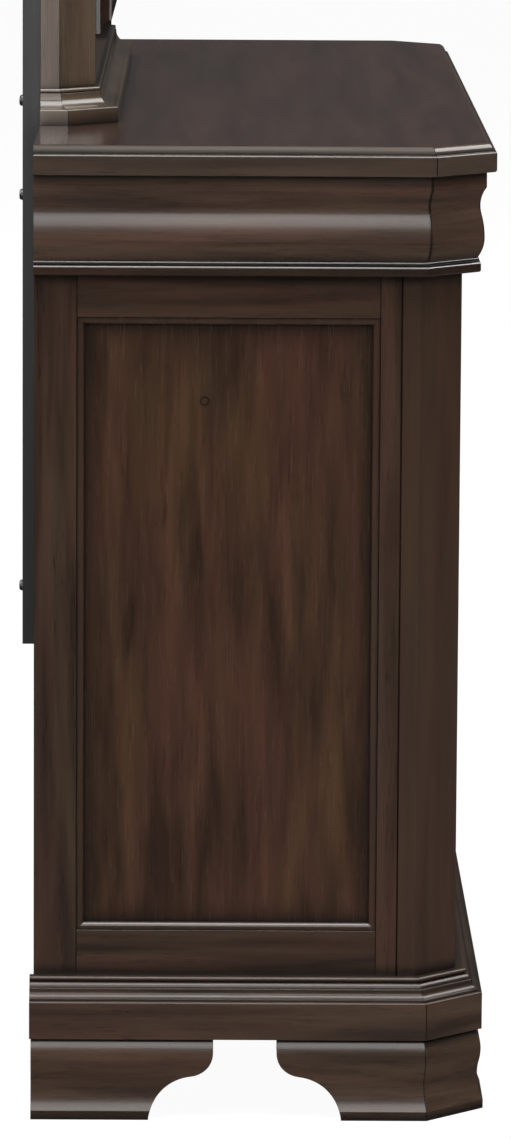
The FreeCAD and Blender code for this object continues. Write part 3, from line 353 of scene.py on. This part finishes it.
def bare_wood(name, pale, dark, grain, roughness, ring, lipping=None):
    """Unstained wood, planed or peeled: pale early wood and darker late wood in long wavy bands, fine fibres
    and hardly any shine. In front of a lipping's back edge the wood is stained dark."""
    material, tree = new_material(name)
    lay = stretched(tree, grain)
    band = add(tree, "TexNoise", (), {
        "Vector": lay, "Scale": 1 / (ring * MM), "Detail": 2.0, "Distortion": 1.2})
    fibre = add(tree, "TexNoise", (), {"Vector": lay, "Scale": 1 / (1.6 * MM), "Detail": 2.0})
    wave = add(tree, "Math", {"operation": "PINGPONG"}, {
        0: add(tree, "Math", {"operation": "MULTIPLY"}, {0: band, 1: 7.0}), 1: 1.0})
    mixed = add(tree, "Math", {"operation": "ADD"}, {
        0: add(tree, "Math", {"operation": "MULTIPLY"}, {0: wave, 1: 0.6}),
        1: add(tree, "Math", {"operation": "MULTIPLY"}, {0: fibre, 1: 0.5})})
    colour = add(tree, "Mix", {"data_type": "RGBA"}, {0: mixed, 6: (*pale, 1), 7: (*dark, 1)}, 2)
    if lipping is not None:
        colours = bpy.context.scene.dresser_colours
        stain = add(tree, "Mix", {"data_type": "RGBA"}, {
            0: mixed, 6: (*colours.solid_red, 1), 7: (*colours.solid_dark, 1)}, 2)
        front = add(tree, "Math", {"operation": "LESS_THAN"}, {0: coordinate(tree, "Y"), 1: lipping})
        colour = add(tree, "Mix", {"data_type": "RGBA"}, {0: front, 6: colour, 7: stain}, 2)
    bump = add(tree, "Bump", (), {"Strength": 0.2, "Distance": RELIEF_HEIGHT, "Height": fibre})
    dull = add(tree, "MapRange", (), enumerate((fibre, *NOISE_LIMITS, roughness - 0.06, roughness + 0.06)))
    close_material(tree, add(tree, "BsdfPrincipled", (), {
        "Base Color": colour, "Roughness": dull, "IOR": LACQUER_IOR, "Normal": bump}))
    return material


def brushed_paint(name):
    """Black emulsion brushed on a board: faint upright brush marks, thin and grey in places, eggshell."""
    colours = bpy.context.scene.dresser_colours
    material, tree = new_material(name)
    lay = stretched(tree, UPRIGHT)
    mark = add(tree, "TexNoise", (), {"Vector": lay, "Scale": 1 / (2.2 * MM), "Detail": 2.0})
    cloud = add(tree, "TexNoise", (), {"Vector": lay, "Scale": 1 / (16 * MM), "Detail": 2.0})
    colour = add(tree, "Mix", {"data_type": "RGBA"}, {
        0: add(tree, "MapRange", (), {0: cloud, 1: 0.4, 2: 0.7}), 6: (*colours.paint, 1),
        7: (*colours.paint_thin, 1)}, 2)
    bump = add(tree, "Bump", (), {"Strength": 0.2, "Distance": RELIEF_HEIGHT, "Height": mark})
    dull = add(tree, "MapRange", (), enumerate((mark, *NOISE_LIMITS, 0.28, 0.36)))
    close_material(tree, add(tree, "BsdfPrincipled", (), {
        "Base Color": colour, "Roughness": dull, "IOR": LACQUER_IOR, "Normal": bump}))
    return material


def rubbed_brass(name):
    """Cast brass, browned and rubbed back: bright on the high places, brown patina in the hollows."""
    colours = bpy.context.scene.dresser_colours
    material, tree = new_material(name)
    place = add(tree, "TexCoord", out="Object")
    cloud = add(tree, "TexNoise", (), {"Vector": place, "Scale": 1 / (6 * MM), "Detail": 4.0})
    grit = add(tree, "TexNoise", (), {"Vector": place, "Scale": 1 / (0.8 * MM), "Detail": 2.0})
    open_sky = add(tree, "AmbientOcclusion", {"samples": 6}, {"Distance": 4 * MM}, "AO")
    hollow = add(tree, "MapRange", (), {0: open_sky, 1: 0.95, 2: 0.45})
    aged = add(tree, "Math", {"operation": "ADD", "use_clamp": True}, {
        0: add(tree, "MapRange", (), {0: cloud, 1: 0.45, 2: 0.75, 4: 0.6}), 1: hollow})
    colour = add(tree, "Mix", {"data_type": "RGBA"}, {0: aged, 6: (*colours.brass, 1),
                                                        7: (*colours.patina, 1)}, 2)
    bump = add(tree, "Bump", (), {"Strength": 0.15, "Distance": 0.0002, "Height": grit})
    dull = add(tree, "MapRange", (), {0: aged, 3: 0.28, 4: 0.5})
    close_material(tree, add(tree, "BsdfPrincipled", (), {
        "Base Color": colour, "Roughness": dull, "Metallic": 1.0, "Normal": bump}))
    return material


def plated_zinc(name):
    """Zinc plated steel: a dull grey with a fine cloudy spangle."""
    colours = bpy.context.scene.dresser_colours
    material, tree = new_material(name)
    place = add(tree, "TexCoord", out="Object")
    spangle = add(tree, "TexVoronoi", (), {"Vector": place, "Scale": 1 / (2.5 * MM)}, "Color")
    cloud = add(tree, "TexNoise", (), {"Vector": place, "Scale": 1 / (3 * MM), "Detail": 3.0})
    colour = add(tree, "Mix", {"data_type": "RGBA", "blend_type": "MULTIPLY"}, {
        0: 0.25, 6: (*colours.zinc, 1), 7: spangle}, 2)
    dull = add(tree, "MapRange", (), enumerate((cloud, *NOISE_LIMITS, 0.3, 0.5)))
    close_material(tree, add(tree, "BsdfPrincipled", (), {
        "Base Color": colour, "Roughness": dull, "Metallic": 1.0}))
    return material


def silvered_glass(name):
    """Float glass silvered on the back: a clear mirror with a trace of green and a faint cloudiness."""
    colours = bpy.context.scene.dresser_colours
    material, tree = new_material(name)
    place = add(tree, "TexCoord", out="Object")
    cloud = add(tree, "TexNoise", (), {"Vector": place, "Scale": 1 / (60 * MM), "Detail": 3.0})
    colour = add(tree, "Mix", {"data_type": "RGBA"}, {
        0: add(tree, "MapRange", (), enumerate((cloud, *NOISE_LIMITS, 0.0, 0.12))), 6: (*colours.silver, 1),
        7: (*[v * 0.8 for v in colours.silver], 1)}, 2)
    close_material(tree, add(tree, "BsdfPrincipled", (), {
        "Base Color": colour, "Roughness": 0.0, "Metallic": 1.0}))
    return material


def studio_floor(name):
    """A matt pale floor. The eye sees it nearly white with a faint shadow and the mirror sees it lit in a
    pool; the lacquer sees it dim, as if the lights were flagged off it, so that the wood keeps its depth."""
    colours = bpy.context.scene.dresser_colours
    material, tree = new_material(name)
    place = add(tree, "TexCoord", out="Object")
    scuff = add(tree, "TexNoise", (), {"Vector": place, "Scale": 2.0, "Detail": 3.0})
    colour = add(tree, "Mix", {"data_type": "RGBA"}, {
        0: add(tree, "MapRange", (), enumerate((scuff, *NOISE_LIMITS, 0.0, 0.02))), 6: (*colours.floor, 1),
        7: (*[v * 0.9 for v in colours.floor], 1)}, 2)
    path = add(tree, "LightPath", (), (), "Is Camera Ray").node
    bounced = add(tree, "MapRange", (), {
        0: path.outputs["Is Diffuse Ray"], 3: FLOOR_TO_LACQUER, 4: FLOOR_TO_MATT})
    share = add(tree, "Mix", (), {0: path.outputs["Is Singular Ray"], 2: bounced, 3: FLOOR_TO_MIRROR})
    dim = add(tree, "BsdfDiffuse", (), {"Color": add(tree, "Mix", {"data_type": "RGBA"}, {
        0: share, 6: (0, 0, 0, 1), 7: (*colours.floor, 1)}, 2)})
    pale = add(tree, "AddShader", (), {
        0: add(tree, "Emission", (), {"Color": colour, "Strength": 1.0}),
        1: add(tree, "BsdfDiffuse", (), {"Color": (0.12, 0.12, 0.12, 1)})})
    close_material(tree, add(tree, "MixShader", (), {0: path.outputs["Is Camera Ray"], 1: dim, 2: pale}))
    return material


def finish_node(name, material):
    """Gives a CAD node its finish in its own material slots."""
    slots = NODES[name].material_slots
    if not slots:
        raise RuntimeError(f"{name} has no material slot")
    for slot in slots:
        slot.material = material


def rail_end(tree):
    """How far a point of a side frame is past the ends of the rails, below zero within them."""
    low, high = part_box("left_panel_bead")
    offset = add(tree, "Math", {"operation": "SUBTRACT"}, {0: coordinate(tree, "Y"), 1: (low.y + high.y) / 2})
    away = add(tree, "Math", {"operation": "ABSOLUTE"}, {0: offset})
    return add(tree, "Math", {"operation": "SUBTRACT"}, {0: away, 1: (high.y - low.y) / 2})


def panel_edge(tree, streak):
    """Where a side panel is darker: towards its edges, and round a knot in the left one."""
    sizes = bpy.context.scene.dresser_sizes
    low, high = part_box("left_panel_bead")
    inside = []
    for axis, start, end in (("Y", low.y, high.y), ("Z", low.z, high.z)):
        middle = (start + end) / 2
        offset = add(tree, "Math", {"operation": "SUBTRACT"}, {0: coordinate(tree, axis), 1: middle})
        away = add(tree, "Math", {"operation": "ABSOLUTE"}, {0: offset})
        inside.append(add(tree, "Math", {"operation": "SUBTRACT"}, {0: (end - start) / 2, 1: away}))
    nearest = add(tree, "Math", {"operation": "MINIMUM"}, enumerate(inside))
    edge = add(tree, "MapRange", {"interpolation_type": "SMOOTHSTEP"}, enumerate((
        nearest, sizes.edge_start, sizes.edge_end, EDGE_STRENGTH, 0.0)))
    heart = (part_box("left_side_panel")[0].x, *sizes.knot_place)
    reach = add(tree, "VectorMath", {"operation": "DISTANCE"}, {
        0: add(tree, "TexCoord", out="Object"), 1: heart}, "Value")
    rim = add(tree, "Math", {"operation": "SUBTRACT"}, {0: reach, 1: sizes.knot})
    ring = joint_line(tree, rim, sizes.knot_ring)
    knot = add(tree, "Math", {"operation": "MULTIPLY"}, {0: ring, 1: KNOT_STRENGTH})
    return add(tree, "Math", {"operation": "MULTIPLY_ADD"}, {0: edge, 1: streak, 2: knot})


def frame_seams(tree):
    """Joint lines between the rails and the stiles of a side frame."""
    return joint_line(tree, rail_end(tree), bpy.context.scene.dresser_sizes.seam)


def case_seams(tree):
    """Mitres of the case's mouldings."""
    sizes = bpy.context.scene.dresser_sizes
    return mitre_seams(tree, "left_corner_post", sizes.cant, sizes.seam)


def frieze_seams(tree):
    """Mitres of the frieze, whose eased edges leave a broad dark joint."""
    sizes = bpy.context.scene.dresser_sizes
    return mitre_seams(tree, "left_corner_post", sizes.cant, sizes.frieze_seam)


def mirror_seams(tree):
    """Mitres of the mirror's base and cornice."""
    sizes = bpy.context.scene.dresser_sizes
    return mitre_seams(tree, "mirror_stiles", sizes.mirror_cant, sizes.seam)


def edge_seams(tree):
    """Mitres of the top's moulded edge, which stop at the flat."""
    edge = add(tree, "Math", {"operation": "LESS_THAN"}, {0: coordinate(tree, "Z", "Normal"), 1: FLAT_FACING})
    return add(tree, "Math", {"operation": "MULTIPLY"}, {0: edge, 1: case_seams(tree)})


def edge_tone_and_sheen(tree):
    """How much paler and greyer the moulded edge of the top is than its flat: partly the edge's own tone,
    partly painted sheen.
    """
    facing = coordinate(tree, "Z", "Normal")
    flat = add(tree, "MapRange", (), enumerate((facing, EDGE_FACING, FLAT_FACING)))
    return add(tree, "Mix", {"data_type": "RGBA"}, {0: flat, 6: EDGE_TINT_AND_SHEEN, 7: (1, 1, 1, 1)}, 2)


def edge_dull(tree):
    """Roughness of the quarter round above the top's face, which is duller along the two ends."""
    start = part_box("top_panel")[1].z - bpy.context.scene.dresser_sizes.quarter
    upper = add(tree, "Math", {"operation": "GREATER_THAN"}, {0: coordinate(tree, "Z"), 1: start})
    edge = add(tree, "Math", {"operation": "LESS_THAN"}, {0: coordinate(tree, "Z", "Normal"), 1: FLAT_FACING})
    end = add(tree, "Math", {"operation": "COMPARE"}, enumerate((
        coordinate(tree, "Y", "Normal"), 0.0, END_FACING)))
    quarter = add(tree, "Math", {"operation": "MULTIPLY"}, {0: upper, 1: edge})
    rubbed = add(tree, "Math", {"operation": "MULTIPLY"}, {0: quarter, 1: end})
    return add(tree, "Math", {"operation": "MULTIPLY"}, {0: rubbed, 1: RUBBED_ROUGHNESS})


def frame_lay(tree, ratio):
    """Grain of a side frame: upright in the stiles, level in the rails between them."""
    rail = add(tree, "Math", {"operation": "LESS_THAN"}, {0: rail_end(tree), 1: 0.0})
    return add(tree, "Mix", {"data_type": "VECTOR"}, {
        0: rail, 4: stretched(tree, UPRIGHT, ratio), 5: stretched(tree, LEVEL, ratio)}, 1)


def top_lay(tree, ratio):
    """Grain of the top: along its length on the flat, round the moulded edge elsewhere."""
    facing = coordinate(tree, "Z", "Normal")
    flat = add(tree, "Math", {"operation": "GREATER_THAN"}, {0: facing, 1: FLAT_FACING})
    return add(tree, "Mix", {"data_type": "VECTOR"}, {
        0: flat, 4: stretched(tree, LEVEL, ratio), 5: stretched(tree, LONG, ratio)}, 1)


def lay_along(grain):
    """Grain that runs one way all over a piece."""
    return lambda tree, ratio: stretched(tree, grain, ratio)


class DRESSER_OT_case(bpy.types.Operator):
    """Finishes the case: mouldings, posts, side frames, panels, feet and top"""
    bl_idname = "dresser.case"
    bl_label = "Case"

    def execute(self, context):
        # Painted light in part: the feet and face rails are drawn paler (lift 1.12) than the frame and posts
        # of the same wood, partly standing for light they catch
        level = stained_wood("stained_hardwood_level_lacquered", lay_along(LEVEL), 0.28, lift=1.12,
                             figure=0.9, coat=0.4, seams_of=case_seams)
        # Painted shade: the waist moulding is drawn much darker (lift 0.6) than the other solid wood,
        # standing for the shade below its bead
        shaded_moulding = stained_wood("stained_hardwood_moulding_polished", lay_along(LEVEL), 0.2, lift=0.6,
                               figure=0.9, coat=1.0, seams_of=case_seams)
        base = stained_wood("stained_hardwood_base_rubbed", lay_along(LEVEL), 0.3, lift=1.05, figure=0.9,
                            coat=0.0, seams_of=case_seams)
        upright = stained_wood("stained_hardwood_upright_lacquered", lay_along(UPRIGHT), 0.22, lift=0.92,
                               figure=0.35, coat=0.4)
        framed = stained_wood("stained_hardwood_frame_lacquered", frame_lay, 0.22, lift=0.82, figure=0.9,
                              coat=0.3, seams_of=frame_seams)
        veneer = stained_wood("stained_veneer_panel_lacquered", lay_along(UPRIGHT), 0.25, "veneer", lift=0.83,
                              figure=0.85, relief=0.0, coat=0.0, coarse=1.3, slim=8, edge_of=panel_edge)
        top = stained_wood("stained_veneer_top_polished", top_lay, 0.16, "top", lift=1.08, figure=0.6,
                           relief=0.0, coat=0.0, coarse=1.8, seams_of=edge_seams, gain_of=edge_tone_and_sheen,
                           dull_of=edge_dull)
        # Painted light: the frieze is drawn paler still (lift 1.22), standing for the light that the belly of
        # its ogee catches
        frieze = stained_wood("stained_hardwood_frieze_lacquered", lay_along(LEVEL), 0.28, lift=1.22,
                              figure=0.9, coat=0.4, seams_of=frieze_seams)
        for side in SIDES:
            finish_node(f"{side}_frieze", frieze)
            for piece in ("front_foot", "rear_foot"):
                finish_node(f"{side}_{piece}", level)
            for piece in ("corner_post", "panel_bead"):
                finish_node(f"{side}_{piece}", upright)
            finish_node(f"{side}_side_frame", framed)
            finish_node(f"{side}_side_panel", veneer)
        finish_node("base_moulding", base)
        finish_node("face_rails", level)
        finish_node("waist_moulding", shaded_moulding)
        finish_node("top_panel", top)
        return {"FINISHED"}


class DRESSER_OT_inside(bpy.types.Operator):
    """Finishes the boards inside the case and its back"""
    bl_idname = "dresser.inside"
    bl_label = "Inside and back"

    def execute(self, context):
        colours = context.scene.dresser_colours
        bare = bare_wood("planed_poplar_bare", colours.bare_pale, colours.bare_dark, LONG, 0.6, 18)
        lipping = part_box("centre_partition")[0].y + context.scene.dresser_sizes.lipping
        upright = bare_wood("planed_poplar_stained_lipping", colours.bare_pale, colours.bare_dark, UPRIGHT,
                            0.5, 18, lipping)
        ply = bare_wood("rotary_plywood_sanded", colours.ply_pale, colours.ply_dark, LONG, 0.65, 26)
        finish_node("centre_partition", upright)
        for piece in ("rear_rails", "drawer_runners"):
            finish_node(piece, bare)
        for piece in ("bottom_board", "back_panel", "mirror_back_board"):
            finish_node(piece, ply)
        return {"FINISHED"}


class DRESSER_OT_drawers(bpy.types.Operator):
    """Finishes the drawers and their pulls"""
    bl_idname = "dresser.drawers"
    bl_label = "Drawers"

    def execute(self, context):
        colours = context.scene.dresser_colours
        front = stained_wood("stained_hardwood_front_lacquered", lay_along(LONG), 0.22, figure=0.8)
        box = bare_wood("birch_clear_lacquered", colours.bare_pale, colours.bare_dark, LEVEL, 0.45, 22)
        brass = rubbed_brass("antique_brass_rubbed")
        for drawer in DRAWERS:
            finish_node(f"{drawer}_drawer_front", front)
            finish_node(f"{drawer}_drawer_box", box)
        for pull in PULLS:
            finish_node(f"{pull}_pull_plate", brass)
            finish_node(f"{pull}_bail", brass)
        return {"FINISHED"}


class DRESSER_OT_mirror(bpy.types.Operator):
    """Finishes the mirror, its supports and their screws"""
    bl_idname = "dresser.mirror"
    bl_label = "Mirror"

    def execute(self, context):
        long = stained_wood("stained_hardwood_mirror_long", lay_along(LONG), 0.2, figure=0.6)
        # The base, cornice and stiles take the paler mirror wood, which is partly painted sheen
        level = stained_wood("stained_hardwood_mirror_level", lay_along(LEVEL), 0.22, "pale", figure=0.6,
                             coat=0.3, seams_of=mirror_seams)
        upright = stained_wood("stained_hardwood_mirror_upright", lay_along(UPRIGHT), 0.24, "pale",
                               figure=0.6, coat=0.0)
        for piece in ("mirror_rails", "mirror_inner_moulding"):
            finish_node(piece, long)
        for piece in ("mirror_base", "mirror_cornice"):
            finish_node(piece, level)
        finish_node("mirror_stiles", upright)
        finish_node("mirror_glass", silvered_glass("silvered_float_glass"))
        finish_node("mirror_supports", brushed_paint("black_emulsion_brushed"))
        finish_node("support_screws", plated_zinc("zinc_plated_steel"))
        return {"FINISHED"}


class DRESSER_OT_nails(bpy.types.Operator):
    """Drives the nails of the back panel and of the mirror's back board"""
    bl_idname = "dresser.nails"
    bl_label = "Nails"

    def execute(self, context):
        sizes = context.scene.dresser_sizes
        steel = plated_zinc("bright_steel_nail")
        for node in ("back_panel", "mirror_back_board"):
            shape = bmesh.new()
            for across, height in self.places(node, sizes):
                self.drive(shape, Vector((across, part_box(node)[1].y, height)), sizes)
            mesh = bpy.data.meshes.new(f"{node}_nails")
            shape.to_mesh(mesh)
            shape.free()
            mesh.materials.append(steel)
            nails = bpy.data.objects.new(f"{node}_nails", mesh)
            context.scene.collection.objects.link(nails)
            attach(nails, "case")
        return {"FINISHED"}

    def places(self, node, sizes):
        """Places round the edge of a board, without those behind the mirror's supports."""
        low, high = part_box(node)
        behind_low, behind_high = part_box("mirror_supports")
        left, right = low.x + sizes.nail_inset, high.x - sizes.nail_inset
        foot, head = low.z + sizes.nail_inset, high.z - sizes.nail_inset
        columns = math.ceil((right - left) / sizes.nail_pitch)
        rows = math.ceil((head - foot) / sizes.nail_pitch)
        found = [(left + (right - left) * step / columns, height) for step in range(columns + 1)
                 for height in (foot, head)]
        found += [(across, foot + (head - foot) * step / rows) for step in range(1, rows)
                  for across in (left, right)]
        clear = 2 * sizes.nail
        return [(across, height) for across, height in found
                if not (behind_high.x - sizes.support - clear < abs(across) < behind_high.x + clear
                        and behind_low.z - clear < height < behind_high.z + clear)]

    def drive(self, shape, place, sizes):
        """One flat nail head with a rounded rim."""
        turn = Matrix.Translation(place) @ Matrix.Rotation(-math.pi / 2, 4, "X")
        head = bmesh.ops.create_cone(shape, cap_ends=True, segments=NAIL_SEGMENTS, radius1=sizes.nail,
                                     radius2=NAIL_TAPER_SHARE * sizes.nail, depth=2 * sizes.nail_height,
                                     matrix=turn)["verts"]
        rim = {edge for vert in head for edge in vert.link_edges
               if min(end.co.y for end in edge.verts) > place.y + RIM_START_SHARE * sizes.nail_height}
        bmesh.ops.bevel(shape, geom=list(rim), offset=RIM_ROUND_SHARE * sizes.nail_height,
                        offset_type="OFFSET", segments=RIM_SEGMENTS, profile=0.5, affect="EDGES", material=-1)


class DRESSER_OT_stage(bpy.types.Operator):
    """Lays the floor, hangs the lights and stands the camera where the photograph was taken"""
    bl_idname = "dresser.stage"
    bl_label = "Stage"

    def execute(self, context):
        scene = context.scene
        studio = scene.dresser_studio
        shape = bmesh.new()
        bmesh.ops.create_grid(shape, x_segments=1, y_segments=1, size=studio.floor_half)
        mesh = bpy.data.meshes.new("studio_floor")
        shape.to_mesh(mesh)
        shape.free()
        floor = bpy.data.objects.new("studio_floor", mesh)
        mesh.materials.append(studio_floor("matt_pale_vinyl"))
        scene.collection.objects.link(floor)
        self.lights(scene, studio)
        self.camera(scene, studio)
        scene.view_settings.view_transform = "Standard"
        return {"FINISHED"}

    def lights(self, scene, studio):
        """The room and the softboxes, two of which reach only some of the pieces."""
        upper = bpy.data.collections.new("lit_by_the_wall")
        left = bpy.data.collections.new("lit_by_the_key")
        for piece, node in NODES.items():
            if piece.startswith("mirror") or piece == "support_screws":
                upper.objects.link(node)
            if piece.startswith(("left", "waist", "base", "mirror_s", "mirror_b", "mirror_c")):
                left.objects.link(node)
        world = bpy.data.worlds.new("studio_room")
        scene.world = world
        world.use_nodes = True
        tree = world.node_tree
        path = add(tree, "LightPath", (), (), "Is Camera Ray").node
        around = add(tree, "Mix", (), {
            0: path.outputs["Is Singular Ray"], 2: studio.room, 3: ROOM_TO_MIRROR})
        strength = add(tree, "Mix", (), {0: path.outputs["Is Camera Ray"], 2: around, 3: 1.0})
        tree.nodes["Background"].inputs["Color"].default_value = (1, 1, 1, 1)
        tree.links.new(strength, tree.nodes["Background"].inputs["Strength"])
        linked = {"wall": upper, "key": left}
        for name, (place, size, value) in SOFTBOXES.items():
            light = bpy.data.lights.new(f"{name}_softbox", "AREA")
            light.shape = "RECTANGLE"
            light.size, light.size_y = size
            light.energy = getattr(studio, value)
            box = bpy.data.objects.new(f"{name}_softbox", light)
            box.location = place
            box.rotation_mode = "QUATERNION"
            towards = Vector(AIM) - Vector(place)
            box.rotation_quaternion = towards.to_track_quat("-Z", "Y")
            box.visible_camera = False
            if name in linked:
                box.light_linking.receiver_collection = linked[name]
            scene.collection.objects.link(box)

    def camera(self, scene, studio):
        """The camera at the photograph's place, turned by yaw, tilt and roll."""
        level = math.cos(studio.tilt)
        ahead = Vector((math.cos(studio.yaw) * level, math.sin(studio.yaw) * level, -math.sin(studio.tilt)))
        side = ahead.cross(Vector((0, 0, 1))).normalized()
        rise = side.cross(ahead)
        right = math.cos(studio.roll) * side + math.sin(studio.roll) * rise
        up = math.cos(studio.roll) * rise - math.sin(studio.roll) * side
        data = bpy.data.cameras.new("photo_camera")
        data.lens = studio.lens
        data.sensor_width = SENSOR_WIDTH
        data.clip_end = VIEW_DISTANCE
        camera = bpy.data.objects.new("photo_camera", data)
        turn = Matrix((right, up, -ahead)).transposed()
        camera.matrix_world = Matrix.Translation(studio.eye) @ turn.to_4x4()
        scene.collection.objects.link(camera)
        scene.camera = camera


OPERATORS = (DRESSER_OT_case, DRESSER_OT_inside, DRESSER_OT_drawers, DRESSER_OT_mirror, DRESSER_OT_nails,
             DRESSER_OT_stage)


class DRESSER_PT_sidebar(bpy.types.Panel):
    """Lists the dresser's operators and its values"""
    bl_idname = "DRESSER_PT_sidebar"
    bl_label = "Dresser"
    bl_space_type = "VIEW_3D"
    bl_region_type = "UI"
    bl_category = "Dresser"

    def draw(self, context):
        for operator in OPERATORS:
            self.layout.operator(operator.bl_idname)
        for group in GROUPS:
            values = getattr(context.scene, group)
            for value in values.bl_rna.properties:
                if value.identifier not in ("rna_type", "name"):
                    self.layout.prop(values, value.identifier)


GROUPS = {"dresser_colours": DresserColours, "dresser_sizes": DresserSizes, "dresser_studio": DresserStudio}
CLASSES = (*GROUPS.values(), *OPERATORS, DRESSER_PT_sidebar)


def register():
    for item in CLASSES:
        bpy.utils.register_class(item)
    for name, group in GROUPS.items():
        setattr(bpy.types.Scene, name, PointerProperty(type=group))


def unregister():
    for name in GROUPS:
        delattr(bpy.types.Scene, name)
    for item in reversed(CLASSES):
        bpy.utils.unregister_class(item)


def main():
    register()
    bpy.ops.dresser.case()
    bpy.ops.dresser.inside()
    bpy.ops.dresser.drawers()
    bpy.ops.dresser.mirror()
    bpy.ops.dresser.nails()
    bpy.ops.dresser.stage()


if __name__ == "__main__":
    main()
